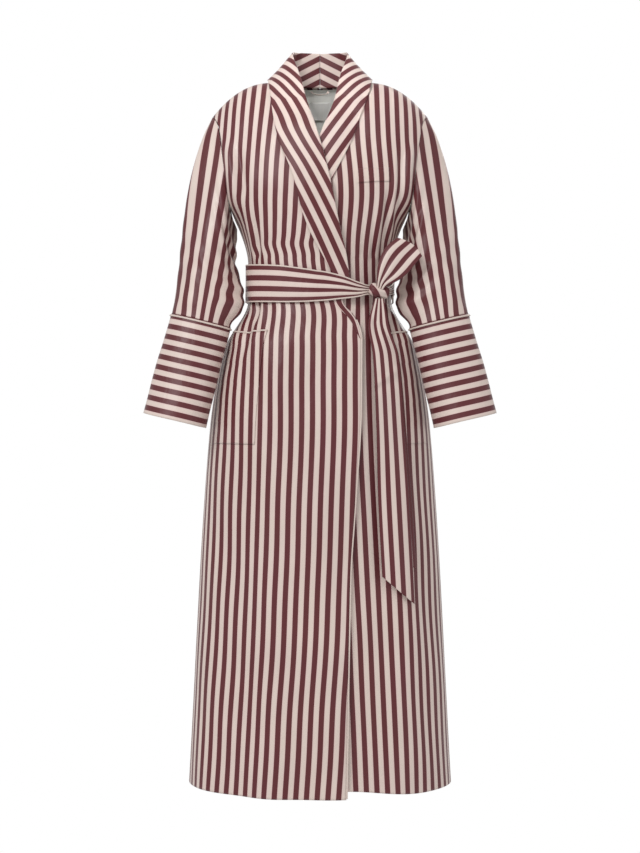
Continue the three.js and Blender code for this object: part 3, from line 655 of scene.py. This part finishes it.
def collar(lines, side, mid, radius):
    outer, roll, seam = (stations(line) for line in lines)
    step = np.linalg.norm(np.diff((outer + roll) / 2, axis=0), axis=1)
    knots = np.concatenate([[0], np.cumsum(step)]) / step.sum()

    def ruled(a, b, share, v):
        p = curve(a, knots, v)
        p = p + (curve(b, knots, v) - p) * share[..., None]
        on = front_at(p[..., 0], np.minimum(p[..., 2], -8), 0.0)
        lying = 1 - smooth(p[..., 2], -95, -55)
        p[..., 1] = mix(p[..., 1], on[..., 1], np.where(p[..., 1] < 0, lying, 0))
        return p

    def surface(u, v):
        over = np.clip(u / 0.60, 0, 1)
        under = np.clip((u - 0.68) / 0.32, 0, 1)
        turn = math.pi * np.clip((u - 0.60) / 0.08, 0, 1)
        a, b = curve(outer, knots, v), curve(roll, knots, v)
        across = b - a
        across /= np.linalg.norm(across, axis=-1, keepdims=True)
        up = curve(roll, knots, np.minimum(v + 0.004, 1)) - curve(roll, knots, np.maximum(v - 0.004, 0))
        normal = np.cross(across, up) * (-side)
        normal /= np.linalg.norm(normal, axis=-1, keepdims=True)
        top = u <= 0.64
        p = np.where(top[..., None], ruled(outer, roll, over, v), ruled(roll, seam, under, v))
        lying = 1 - smooth(p[..., 2], -95, -30)
        lap = lap_over(p[..., 0], p[..., 2]) if side < 0 else 0 * p[..., 0]
        puff = 3.2 * np.sin(math.pi * over) * np.exp(-((p[..., 2] + 120) / 130) ** 2) * (turn == 0)
        waves = 0.7 * np.sin(p[..., 2] / 19 + p[..., 0] / 31) * smooth(p[..., 2], -330, -280)
        waves = waves * np.sin(math.pi * over)
        high = lap * lying + mid * lying + radius * np.cos(turn) + puff + waves
        p = p + normal * high[..., None] + across * (radius * np.sin(turn))[..., None]
        for _ in range(3):
            p = np.where((top & (turn < 0.1))[..., None], clear_of(p, lap + mid + radius + 0.3), p)
        return p
    return surface


RIGHT_LAPEL = np.array([
    [-400, 66], [-280, 12], [-175, -41], [-100, -83], [-70, -94], [0, -132], [200, -245],
])
LEFT_LAPEL = np.array([[-400, -169], [-200, -51], [-100, 15], [0, 86], [200, 226]])


def lapel_grain(table, lean):
    """Stripes across a lapel, and a chevron on the inside of the stand."""
    def flat(u, v, points):
        x, y, z = points[..., 0], points[..., 1], points[..., 2]
        rise = z + 0.8 * np.maximum(0, y + 60)
        outside = (x - through(table, 1, rise)) * math.cos(lean)
        inside = (z - 56.8) * math.cos(math.radians(28.5)) + np.abs(x) * math.sin(math.radians(28.5))
        width = np.where(u <= 0.62, outside, inside)
        return np.stack([width, rise], axis=-1)
    return flat


for word, lines, side, mid, radius, table, lean in (
    ("right", RIGHT_COLLAR, -1, 2.6, 1.0, RIGHT_LAPEL, 0.46),
    ("left", LEFT_COLLAR, 1, 2.2, 0.8, LEFT_LAPEL, 0.62),
):
    piece, points = cloth(f"{word}_collar_satin", 50, 200, collar(lines, side, mid, radius),
                          lapel_grain(table, lean), 0.9, STRIPED)
    declare(piece,
            "robe", f"{word}_collar")

# %% [markdown]
# The upper lapel does not stop at the sash. It narrows below it and runs out
# into the straight edge of the front, with its last dark stripe along the roll.

# %% The end of the upper lapel
END_OUTER = np.array([[-478, 69], [-447, 53], [-408, 25], [-385, 25]], float)
END_ROLL = np.array([[-478, 72], [-447, 62.5], [-408, 39], [-385, 44]], float)


END_LOW, END_HIGH = -478.0, -385.0


def lapel_end(u, v):
    q = mix(END_LOW, END_HIGH, v)
    x = mix(through(END_OUTER, 1, q), through(END_ROLL, 1, q), u)
    return front_at(x, q, lap_over(x, q) + 1.3)


def lapel_end_grain(u, v, points):
    q = mix(END_LOW, END_HIGH, v)
    return np.stack([through(END_ROLL, 1, q) - points[..., 0] - 5.5, q], axis=-1)


piece, points = cloth("lapel_end_satin", 12, 60, lapel_end, lapel_end_grain, 0.9, STRIPED)
outward(piece, axis_of)
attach(piece, "robe")

# %% [markdown]
# ## Sleeves and cuffs
#
# A sleeve starts at the armhole seam, which is the edge of the front and back
# panels, and ends in an oval ring at the wrist. A cuff continues from there. The
# grid starts at the underarm seam, so the stripes break where a real sleeve is
# sewn. The sleeve and its lining are attached to no body; the cuff and its cord
# are attached to the arm.

# %% The surface of a sleeve
CUFF_TILT = math.radians(13.5)
CUFF_LENGTH, CUFF_SPREAD = 187.0, 45.0
ARM_ROUND = 45.4


def armhole(side, turn):
    angle = 2 * math.pi * turn
    share = (1 + np.cos(angle)) / 2
    q = UNDERARM * (1 - share)
    seam = side * seam_angle(q)
    point = np.where((np.sin(angle) >= 0)[..., None], body(-1, seam, q), body(1, seam, q))
    point[..., 0] += side * (1.0 + 3.5 * (1 - share) ** 4)
    point[..., 2] -= 0.5
    return point


def cuff_ring(side, turn, share):
    angle = 2 * math.pi * turn
    across = mix(54.0, 57.0, share) * np.cos(angle)
    fall = math.sqrt(CUFF_LENGTH ** 2 - CUFF_SPREAD ** 2)
    return np.stack([
        side * (215.5 + CUFF_SPREAD * share + across * math.cos(CUFF_TILT)),
        -mix(66.0, 94.0, share) - mix(37.0, 40.0, share) * np.sin(angle),
        -442.0 - fall * share + across * math.sin(CUFF_TILT),
    ], axis=-1)


def sleeve_base(side, turn, share):
    upper = np.clip(share, 0, 1)
    start = armhole(side, turn)
    point = start + (cuff_ring(side, turn, 0.0 * turn) - start) * upper[..., None]
    swell = 15 * 6.75 * upper * (1 - upper) ** 2 * np.maximum(0, np.cos(2 * math.pi * turn)) ** 2
    point[..., 0] += side * swell
    return np.where((share > 1)[..., None], cuff_ring(side, turn, np.maximum(share - 1, 0)), point)


def sleeve_folds(turn, share):
    ends = smooth(share, 0.0, 0.10) * (1 - smooth(share, 0.90, 0.99))
    inner = np.maximum(0, np.cos(2 * math.pi * (turn - 0.42)))
    outer = np.maximum(0, np.cos(2 * math.pi * (turn - 0.08)))
    pits = 3.6 * np.sin(share * 34 + 3.0 * np.cos(2 * math.pi * (turn - 0.2)))
    pits = pits * np.exp(-((share - 0.30) / 0.20) ** 2)
    elbow = 3.0 * np.sin(share * 46 - 4.5 * np.cos(2 * math.pi * (turn - 0.3)))
    elbow = elbow * np.exp(-((share - 0.70) / 0.16) ** 2)
    long = 2.4 * np.sin(2 * math.pi * 4 * turn + 3.5 * share)
    ease = 21.0 * np.exp(-((turn % 1 - 0.48) / 0.12) ** 2)
    ease = ease * smooth(share, 0.28, 0.72) * (1 - smooth(share, 0.80, 0.99))
    folds = 0.6 * pits * inner + 0.6 * elbow * (0.35 + 0.65 * inner) + long * (0.4 + 0.6 * outer)
    return folds * ends + ease


def cuff_folds(turn, share):
    low = smooth(share, 1.05, 1.5)
    wide = 1.6 * low * np.sin(2 * math.pi * 3 * turn + 1.2 * share)
    fine = 0.5 * np.sin(2 * math.pi * 2 * turn + 9 * share) * low
    return wide + fine


def sleeve(side, first, last, out):
    def surface(u, v):
        turn = 0.5 + u
        share = mix(last, first, v)
        step = 0.003
        low = np.where(share > 1, 1.0001, 0.0)
        high = np.where(share > 1, 2.0, 1.0)
        round_it = sleeve_base(side, turn + step, share) - sleeve_base(side, turn - step, share)
        a, b = np.minimum(share + step, high), np.maximum(share - step, low)
        down = sleeve_base(side, turn, a) - sleeve_base(side, turn, b)
        normal = np.cross(round_it, down)
        normal /= np.linalg.norm(normal, axis=-1, keepdims=True)
        lift = out + np.where(share > 1, cuff_folds(turn, share), sleeve_folds(turn, share))
        return sleeve_base(side, turn, share) + normal * (side * lift)[..., None]
    return surface


def sleeve_grain(first, last):
    """Stripes run along the arm: the angle round the arm's axis sets them."""
    def flat(u, v, points):
        side = np.sign(points[..., 0].mean())
        top = np.array([side * 173.0, 0.0, -166.0])
        arm = np.array([side * 215.5, -66.0, -442.0]) - top
        arm /= np.linalg.norm(arm)
        off = points - top
        off = off - (off @ arm)[..., None] * arm
        forward = np.array([0.0, -1.0, 0.0])
        forward = forward - (forward @ arm) * arm
        outward_way = np.cross(arm, forward) * -side
        turn = np.unwrap(np.arctan2(off @ outward_way, off @ forward), axis=1)
        middle = round(0.75 * (turn.shape[1] - 1))
        turn = turn - 2 * math.pi * np.round(turn[:, middle] / (2 * math.pi))[:, None]
        across = ARM_ROUND * (0.6 * turn + 0.4 * np.sin(turn)) - 15.2
        return np.stack([across, mix(last, first, v) * 400], axis=-1)
    return flat


def cuff_grain(u, v, points):
    return np.stack([(1 - v) * CUFF_LENGTH - 4.7, u * 320], axis=-1)


def turned(piece, side):
    """Faces of a sleeve point away from its own middle."""
    mesh = piece.data
    co = np.array([p.center[:] for p in mesh.polygons])
    no = np.array([p.normal[:] for p in mesh.polygons])
    rows = np.round(co[:, 2], 2)
    centre = np.array([[co[rows == r, 0].mean(), co[rows == r, 1].mean()] for r in rows])
    if ((co[:, :2] - centre) * no[:, :2]).sum() < 0:
        mesh.flip_normals()


for word, side in (("right", -1), ("left", 1)):
    arm = f"{word}_sleeve_body"
    piece, points = cloth(f"{word}_sleeve_satin", 96, 150, sleeve(side, 0.0, 1.0, 0.0),
                          sleeve_grain(0.0, 1.0), 1.0, STRIPED, closed=True)
    turned(piece, side)
    declare(piece,
            None, f"{word}_sleeve")
    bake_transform(piece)
    piece, points = cloth(f"{word}_sleeve_inside", 60, 110, sleeve(side, 0.02, 1.914, -2.6),
                          sleeve_grain(0.02, 1.914), 0.5, LINING, closed=True)
    turned(piece, side)
    declare(piece,
            None, f"{word}_sleeve_lining")
    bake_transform(piece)
    piece, points = cloth(f"{word}_cuff_satin", 96, 60, sleeve(side, 1.001, 2.0, 0.9),
                          cuff_grain, 1.0, STRIPED, closed=True)
    turned(piece, side)
    declare(piece,
            arm, f"{word}_cuff")

# %% [markdown]
# ## Piping
#
# Piping is a cord covered with ivory satin, sewn into an edge. A small round
# section is carried along a line of points.

# %% Cords along lines
def cord(name, centres, radius, node, bodyname, closed=False, flatten=1.0):
    centres = np.array(centres)
    sides = 10
    ahead = np.roll(centres, -1, 0) - np.roll(centres, 1, 0) if closed else np.gradient(centres, axis=0)
    ahead /= np.linalg.norm(ahead, axis=1, keepdims=True)
    first = np.cross(ahead, np.array([0.31, 0.2, 0.93]))
    first /= np.linalg.norm(first, axis=1, keepdims=True)
    second = np.cross(ahead, first)
    if closed:
        centres, first, second = (np.concatenate([a, a[:1]]) for a in (centres, first, second))
    rows = len(centres) - 1
    bm = bmesh.new()
    bmesh.ops.create_grid(bm, x_segments=sides, y_segments=rows, size=0.5)
    layer = bm.loops.layers.uv.new("UVMap")
    place = np.array([v.co[:2] for v in bm.verts]) + 0.5
    row = np.rint(place[:, 1] * rows).astype(int)
    angle = 2 * math.pi * place[:, 0]
    ring = np.cos(angle)[:, None] * first[row] + flatten * np.sin(angle)[:, None] * second[row]
    length = np.concatenate([[0], np.cumsum(np.linalg.norm(np.diff(centres, axis=0), axis=1))])
    for face in bm.faces:
        face.smooth = True
        for loop in face.loops:
            k = loop.vert.index
            loop[layer].uv = (radius * angle[k] * MM, length[row[k]] * MM)
    for vert, co in zip(bm.verts, (centres[row] + radius * ring) * MM):
        vert.co = co
    bmesh.ops.remove_doubles(bm, verts=bm.verts, dist=1e-6)
    bmesh.ops.holes_fill(bm, edges=[e for e in bm.edges if e.is_boundary], sides=0)
    bmesh.ops.recalc_face_normals(bm, faces=bm.faces)
    mesh = bpy.data.meshes.new(name)
    bm.to_mesh(mesh)
    bm.free()
    piece = bpy.data.objects.new(name, mesh)
    bpy.context.scene.collection.objects.link(piece)
    mesh.materials.append(CREAM)
    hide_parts(node)
    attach(piece, bodyname)
    pieces[name] = piece
    return piece


q = np.linspace(HEM + 2, WAIST_BOTTOM - 44, 260)
x = through(RIGHT_EDGE, 1, q) + 1.0
cord("front_piping", front_at(x, q, lap_over(x, q)), 1.5, "front_edge_piping", "robe")
for word, side in (("right", -1), ("left", 1)):
    turn = np.arange(120) / 120 + 0.5
    rim = sleeve(side, 1.02, 1.02, 2.4)(np.arange(120) / 120, turn * 0)
    cord(f"{word}_cuff_cord", rim, 1.7, f"{word}_cuff_piping", f"{word}_sleeve_body", closed=True)

# %% [markdown]
# ## The sash
#
# The sash is a straight band, worn as a ring round the waist, knotted on the
# wearer's left. Towards the knot its full width is pulled together, so it grows
# narrow there and its cloth stands in small pleats. Its two tails hang from the
# knot and one short loop of it stands up as the bow.

# %% The band, its piping and the tails
SASH_LEVEL = np.array([
    [-3.1416, -369], [-2.0, -370], [-1.255, -373.1], [-0.507, -377.6], [-0.144, -381.1], [0.2, -384.7],
    [0.445, -388.3], [0.57, -388.5], [0.943, -389], [1.12, -386], [1.571, -376], [2.0, -370], [3.1416, -369],
])
SASH_SPREAD = np.array([
    [-3.1416, 31], [-2.0, 31], [-1.255, 32.0], [-0.507, 31.0], [-0.144, 27.8], [0.2, 18.8],
    [0.445, 10.5], [0.57, 6.5], [0.943, 5], [1.12, 6], [1.571, 15], [2.0, 27], [3.1416, 31],
])


def sash_at(angle, across, out):
    """angle runs round the waist from the middle front, across from -1 to 1."""
    within = np.arctan2(np.sin(angle), np.abs(np.cos(angle)))
    front = np.cos(angle) >= 0
    waist = np.full_like(angle, WAIST)
    base = np.where(front[..., None], body(-1, within, waist), body(1, within, waist))
    normal = np.where(front[..., None], normal_at(-1, within, waist), normal_at(1, within, waist))
    normal[..., 2] = 0
    normal /= np.linalg.norm(normal, axis=-1, keepdims=True)
    clear = mix(5.3, 15.3, np.where(front, 1 - np.abs(np.sin(within)) ** 8, 0))
    half = through(SASH_SPREAD, 1, angle)
    gathered = (1 - np.clip(half / 31, 0, 1)) * (1 - smooth(angle, 0.9, 1.15))
    pleats = 2.4 * gathered * np.cos(across * 11 + 0.6) * (1 - np.abs(across) ** 4)
    pleats = pleats + 2.0 * gathered * (1 - across ** 2)
    sag = 0.8 * np.sin(angle * 9) * np.sin(across * 2.2)
    spot = base + normal * (clear + out + pleats + sag)[..., None]
    spot[..., 2] = through(SASH_LEVEL, 1, angle) + across * half
    return spot


def band(u, v):
    return sash_at(-math.pi + 2 * math.pi * u, v * 2 - 1, 0 * u)


def band_grain(u, v, points):
    return np.stack([(v * 2 - 1) * 31 + PERIOD / 2, u * 760], axis=-1)


sash, points = cloth("sash_satin", 320, 40, band, band_grain, 1.4, STRIPED, closed=True)
outward(sash, axis_of)
for word, sign in (("top", 1), ("bottom", -1)):
    angle = -math.pi + 2 * math.pi * np.arange(300) / 300
    rim = sash_at(angle, np.full_like(angle, sign), 0 * angle)
    rim[:, 2] += sign * 1.2
    cord(f"sash_{word}_cord", rim, 1.4, f"sash_{word}_piping", "robe", closed=True)

KNOT = np.array([106.0, -106.0, -391.0])
TAIL = np.array([[0, 0, 8], [0.08, -2, 17], [0.2, 11, 23], [0.45, 19, 25], [0.7, 25, 28], [1, 33, 29]])


def tail(length, out, shift, top):
    def surface(u, v):
        share = (1 - v) * length / 520
        slant = 50 * (u - 0.5) * (1 - v) ** 4
        z = top - share * 520 - slant
        across = u * 2 - 1
        x = KNOT[0] + through(TAIL, 1, share) + shift * share + across * through(TAIL, 2, share)
        near = np.exp(-share / 0.10)
        pleats = 2.2 * near * np.cos(across * 9) + 1.2 * np.sin(share * 9 + across) * (1 - near)
        crease = 2.0 * np.exp(-((share - 0.27 + 0.03 * across) / 0.012) ** 2)
        crease = crease - 1.6 * np.exp(-((share - 0.30 + 0.02 * across) / 0.016) ** 2)
        edge = 0.8 * across ** 2 * np.sin(share * 21 + 1)
        rest = front_at(x, z, out)[..., 1] - pleats - crease - edge
        y = np.minimum(rest, KNOT[1] + 16.8 - out)
        return np.stack([x, y, z], axis=-1)
    return surface


def tail_grain(length):
    def flat(u, v, points):
        return np.stack([(u * 2 - 1) * 30 + PERIOD / 2, (1 - v) * length], axis=-1)
    return flat


for word, length, out, shift in (("back", 460, 13.4, 8), ("front", 520, 18.9, 0)):
    piece, points = cloth(f"tail_{word}_satin", 40, 200, tail(length, out, shift, -404.5),
                          tail_grain(length), 1.4, STRIPED)
    declare(piece,
            f"tail_{word}", f"sash_tail_{word}")

# %% [markdown]
# The bow is one flattened loop. Going along it, the cloth leaves the knot, turns
# at the far end and comes back behind itself. The knot is a tight bundle of the
# same cloth, with a hollow where it is pinched.

# %% Bow and knot
BOW_LEFT = np.array([[101, -386], [102, -368], [104, -345], [111, -324], [122, -309], [138, -297]], float)
BOW_RIGHT = np.array([[112, -391], [121, -382], [142, -371], [157, -359], [169, -345], [182, -330]], float)


def bow(u, v):
    knots = np.linspace(0, 1, 6)
    along = np.sin(math.pi * np.clip(v, 0, 1))
    left, right = curve(BOW_LEFT, knots, along), curve(BOW_RIGHT, knots, along)
    spot = left + (right - left) * u[..., None]
    end = 7 * np.sin(math.pi * u) * along ** 4
    side = np.cos(math.pi * v)
    across = u * 2 - 1
    open_by = 7.5 * (0.25 + 0.75 * np.sin(math.pi * along ** 0.7) + 0.2 * along)
    pleats = 1.8 * (1 - along) * np.cos(across * 10) + 1.0 * np.sin(across * 5 + along * 4) * along
    y = -112.0 - 5 * along - side * open_by - pleats
    x = spot[..., 0] + end * 0.7
    z = spot[..., 1] + end * 0.7
    return np.stack([x, y, z], axis=-1)


def bow_grain(u, v, points):
    return np.stack([(u * 2 - 1) * 31 + PERIOD / 2, v * 200], axis=-1)


loop, points = cloth("bow_satin", 40, 160, bow, bow_grain, 1.2, STRIPED)
declare(loop, "robe", "bow_loop")


def knot_of(u, v):
    """u goes round the knot, v from its left end to its right end."""
    turn, along = 2 * math.pi * u, math.pi * v
    thick = np.sin(along) ** 0.75 * (1 + 0.09 * np.cos(3 * turn + 5 * v) + 0.05 * np.cos(7 * turn - 6 * v))
    pinch = 1 - 0.18 * np.exp(-((v - 0.5) / 0.14) ** 2)
    x = -21 * np.cos(along)
    y = 11.5 * thick * pinch * np.cos(turn)
    z = 14 * thick * pinch * np.sin(turn)
    lean = math.atan2(0.62, 1.0)
    return np.stack([
        KNOT[0] + x * math.cos(lean) - y * math.sin(lean) * 0.6,
        KNOT[1] + x * math.sin(lean) * 0.55 + y,
        KNOT[2] + z - 0.12 * x,
    ], axis=-1)


def knot_grain(u, v, points):
    x, z = points[..., 0] - KNOT[0], points[..., 2] - KNOT[2]
    return np.stack([x * 0.75 + 0.012 * z ** 2 + 0.5 * z + 7.0, u * 60], axis=-1)


knot, points = cloth("sash_knot_satin", 64, 48, knot_of, knot_grain, 0.4, STRIPED, closed=True)
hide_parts("sash_knot")
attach(knot, "robe")
width, length = 0.062, 0.80
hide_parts("sash_band")
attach(sash, "robe")

# %% [markdown]
# ## Pockets, loops and label
#
# A patch pocket is cut so that its stripes meet the stripes of the front below
# it. Here its UV coordinates are read from the front's own, at the same height
# and the same place across.

# %% Pockets matched to the fronts
def matched(points_of, guide, side):
    def flat(u, v, points):
        rows = np.linspace(0, 1, 301)
        grid_u, grid_v = np.meshgrid(np.arange(97) / 96, rows)
        base = panel(side, RIGHT_EDGE if side < 0 else LEFT_EDGE, 0.0)(grid_u, grid_v)
        across = along_rows(base, guide, grid_v)
        level = heights(rows)
        out = np.zeros(points.shape[:2])
        for j in range(points.shape[0]):
            for i in range(points.shape[1]):
                k = int(np.argmin(np.abs(level - points_of[j, i])))
                out[j, i] = np.interp(points[j, i, 0], base[k, :, 0], across[k])
        return np.stack([out, points[..., 2]], axis=-1)
    return flat


POCKET_TOP, POCKET_DEEP = -466.0, 198.0


def patch(side):
    inner, outer = math.radians(29), math.radians(68)

    def surface(u, v):
        angle = mix(inner, outer, u) if side > 0 else -mix(outer, inner, u)
        q = POCKET_TOP - POCKET_DEEP * (1 - v)
        x = body(-1, angle, q)[..., 0]
        lap = lap_over(x, q) if side < 0 else 0
        swell = 1.2 * np.sin(math.pi * u) * v ** 2
        return skin(-1, angle, q, lap + 1.9 + swell)
    return surface


for word, side, guide in (("right", -1, RIGHT_GUIDE), ("left", 1, LEFT_GUIDE)):
    v = np.linspace(0, 1, 51)
    level = np.repeat((POCKET_TOP - POCKET_DEEP * (1 - v))[:, None], 41, axis=1)
    piece, points = cloth(f"{word}_pocket_satin", 40, 50, patch(side),
                          matched(level, guide, side), 1.0, STRIPED)
    outward(piece, axis_of)
    declare(piece,
            "robe", f"{word}_hip_pocket")
    mouth = patch(side)(np.linspace(0, 1, 40), np.ones(40))
    mouth[:, 2] += 1.2
    cord(f"{word}_pocket_cord", mouth, 1.5, f"{word}_pocket_piping", "robe")


WELT_X, WELT_Q = 96, -182
WELT_LONG, WELT_TALL, WELT_RISE = 58, 26, 6


def welt(u, v):
    x = WELT_X + (u - 0.5) * WELT_LONG
    q = WELT_Q + (v - 0.5) * WELT_TALL + (u - 0.5) * WELT_RISE
    return front_at(x, q, 1.6)


def welt_heights():
    u, v = np.meshgrid(np.arange(17) / 16, np.arange(9) / 8)
    return WELT_Q + (v - 0.5) * WELT_TALL + (u - 0.5) * WELT_RISE


piece, points = cloth("welt_satin", 16, 8, welt, matched(welt_heights(), LEFT_GUIDE, 1),
                      1.0, STRIPED)
outward(piece, axis_of)
declare(piece, "robe", "chest_pocket_welt")

# %% Belt loops, hanger loop and blank label
LOOP_WIDE, LOOP_REACH = 8, 43
HOOK_HALF, HOOK_WALL, HOOK_OUT, HOOK_HANG, HOOK_TOP = 15.5, 49.4, 12, 8, -6
LABEL_WIDE, LABEL_TALL, LABEL_TOP = 40, 34, -22


def strip_grain(u, v, points):
    return np.stack([u * LOOP_WIDE, v * 2 * LOOP_REACH], axis=-1)


for word, side in (("right", -1), ("left", 1)):
    def strip(u, v, side=side):
        angle = side * math.radians(74) + (0.5 - u) * LOOP_WIDE / 131
        level = np.full_like(u, WAIST)
        q = WAIST + (v * 2 - 1) * LOOP_REACH
        over = smooth(1 - np.abs(v * 2 - 1), 0.02, 0.2)
        out = mix(1.8, 9.6, over)
        near = body(1, angle, level) + normal_at(1, angle, level) * out[..., None]
        foot = body(1, angle, q) + normal_at(1, angle, q) * 1.8
        spot = near + (foot - near) * (1 - over)[..., None]
        spot[..., 2] = q
        return spot

    piece, points = cloth(f"{word}_loop_satin", 6, 60, strip, strip_grain, 0.8, STRIPED)
    declare(piece,
            "robe", f"{word}_belt_loop")

t = np.linspace(0, 1, 60) * math.pi
hook = np.stack([-HOOK_HALF * np.cos(t), HOOK_WALL - HOOK_OUT * np.sin(t),
                 HOOK_TOP - HOOK_HANG * np.sin(t)], axis=-1)
cord("hanger_cord", hook, 2.2, "hanger_loop", "neck_loop", flatten=0.4)


def label(u, v):
    x = (0.5 - u) * LABEL_WIDE
    q = LABEL_TOP - LABEL_TALL * (1 - v)
    angle = angle_at(x, q)
    return body(1, angle, q) + normal_at(1, angle, q) * -4.0


def label_grain(u, v, points):
    return np.stack([u * LABEL_WIDE, v * LABEL_TALL], axis=-1)


piece, points = cloth("label_cloth", 16, 14, label, label_grain, 0.5, LABEL)
declare(piece, "robe", "neck_label")
print("pieces made:", len(pieces))

# %% [markdown]
# ## Studio
#
# The gown hangs above a round pale floor, and the world around it is white. One
# large soft light hangs high in front and to the left, and a weaker one fills the
# right. Another lights the back, and a faint one reaches into the neck. A long
# lens keeps the upright lines upright.

# %% Floor, lights and camera
bm = bmesh.new()
bmesh.ops.create_circle(bm, cap_ends=True, segments=96, radius=0.9)
bmesh.ops.translate(bm, verts=bm.verts, vec=(0, 0, -1.64))
mesh = bpy.data.meshes.new("floor")
bm.to_mesh(mesh)
bm.free()
floor = bpy.data.objects.new("floor", mesh)
bpy.context.scene.collection.objects.link(floor)
paper = bpy.data.materials.new("paper_floor")
paper.use_nodes = True
tree = paper.node_tree
shader = tree.nodes["Principled BSDF"]
shader.inputs["Roughness"].default_value = 0.9
where = tree.nodes.new("ShaderNodeTexCoord")
grainy = noise_node(tree, where.outputs["Object"], 1.4, 2)
tone = mix_node(tree, grainy, (0.93, 0.93, 0.93, 1), (0.96, 0.96, 0.955, 1))
tree.links.new(tone, shader.inputs["Base Color"])
mesh.materials.append(paper)

world = bpy.data.worlds.new("studio")
bpy.context.scene.world = world
world.use_nodes = True
world.node_tree.nodes["Background"].inputs["Color"].default_value = (1.0, 1.0, 1.0, 1)
sky = world.node_tree.nodes["Background"]
rays = world.node_tree.nodes.new("ShaderNodeLightPath")
strength = world.node_tree.nodes.new("ShaderNodeMapRange")
strength.inputs["To Min"].default_value = 0.63
strength.inputs["To Max"].default_value = 1.0
world.node_tree.links.new(rays.outputs["Is Camera Ray"], strength.inputs["Value"])
world.node_tree.links.new(strength.outputs["Result"], sky.inputs["Strength"])


def area_light(name, place, target, size, power):
    light = bpy.data.lights.new(name, "AREA")
    light.shape = "RECTANGLE"
    light.size, light.size_y = size
    light.energy = power
    lamp = bpy.data.objects.new(name, light)
    lamp.location = place
    lamp.rotation_euler = (Vector(target) - Vector(place)).to_track_quat("-Z", "Y").to_euler()
    bpy.context.scene.collection.objects.link(lamp)
    return light


area_light("key", (-1.7, -2.8, 1.5), (0, 0, -0.6), (1.3, 1.3), 64)
area_light("fill", (2.4, -2.2, -0.2), (0, 0, -0.7), (1.6, 2.2), 8)
area_light("back", (1.6, 3.0, 1.2), (0, 0, -0.6), (1.6, 1.6), 24)
neck_light = area_light("neck_light", (0, -1.2, 1.1), (0, 0.05, -0.07), (0.2, 0.2), 0.10)
neck_light.spread = math.radians(16)

lens = bpy.data.cameras.new("camera")
lens.lens, lens.sensor_width = 77.57, 36
camera = bpy.data.objects.new("camera", lens)
camera.location = (0, -3.4, -0.634)
camera.rotation_euler = (math.radians(90), 0, 0)
bpy.context.scene.collection.objects.link(camera)
bpy.context.scene.camera = camera
bpy.context.scene.view_settings.view_transform = "Standard"
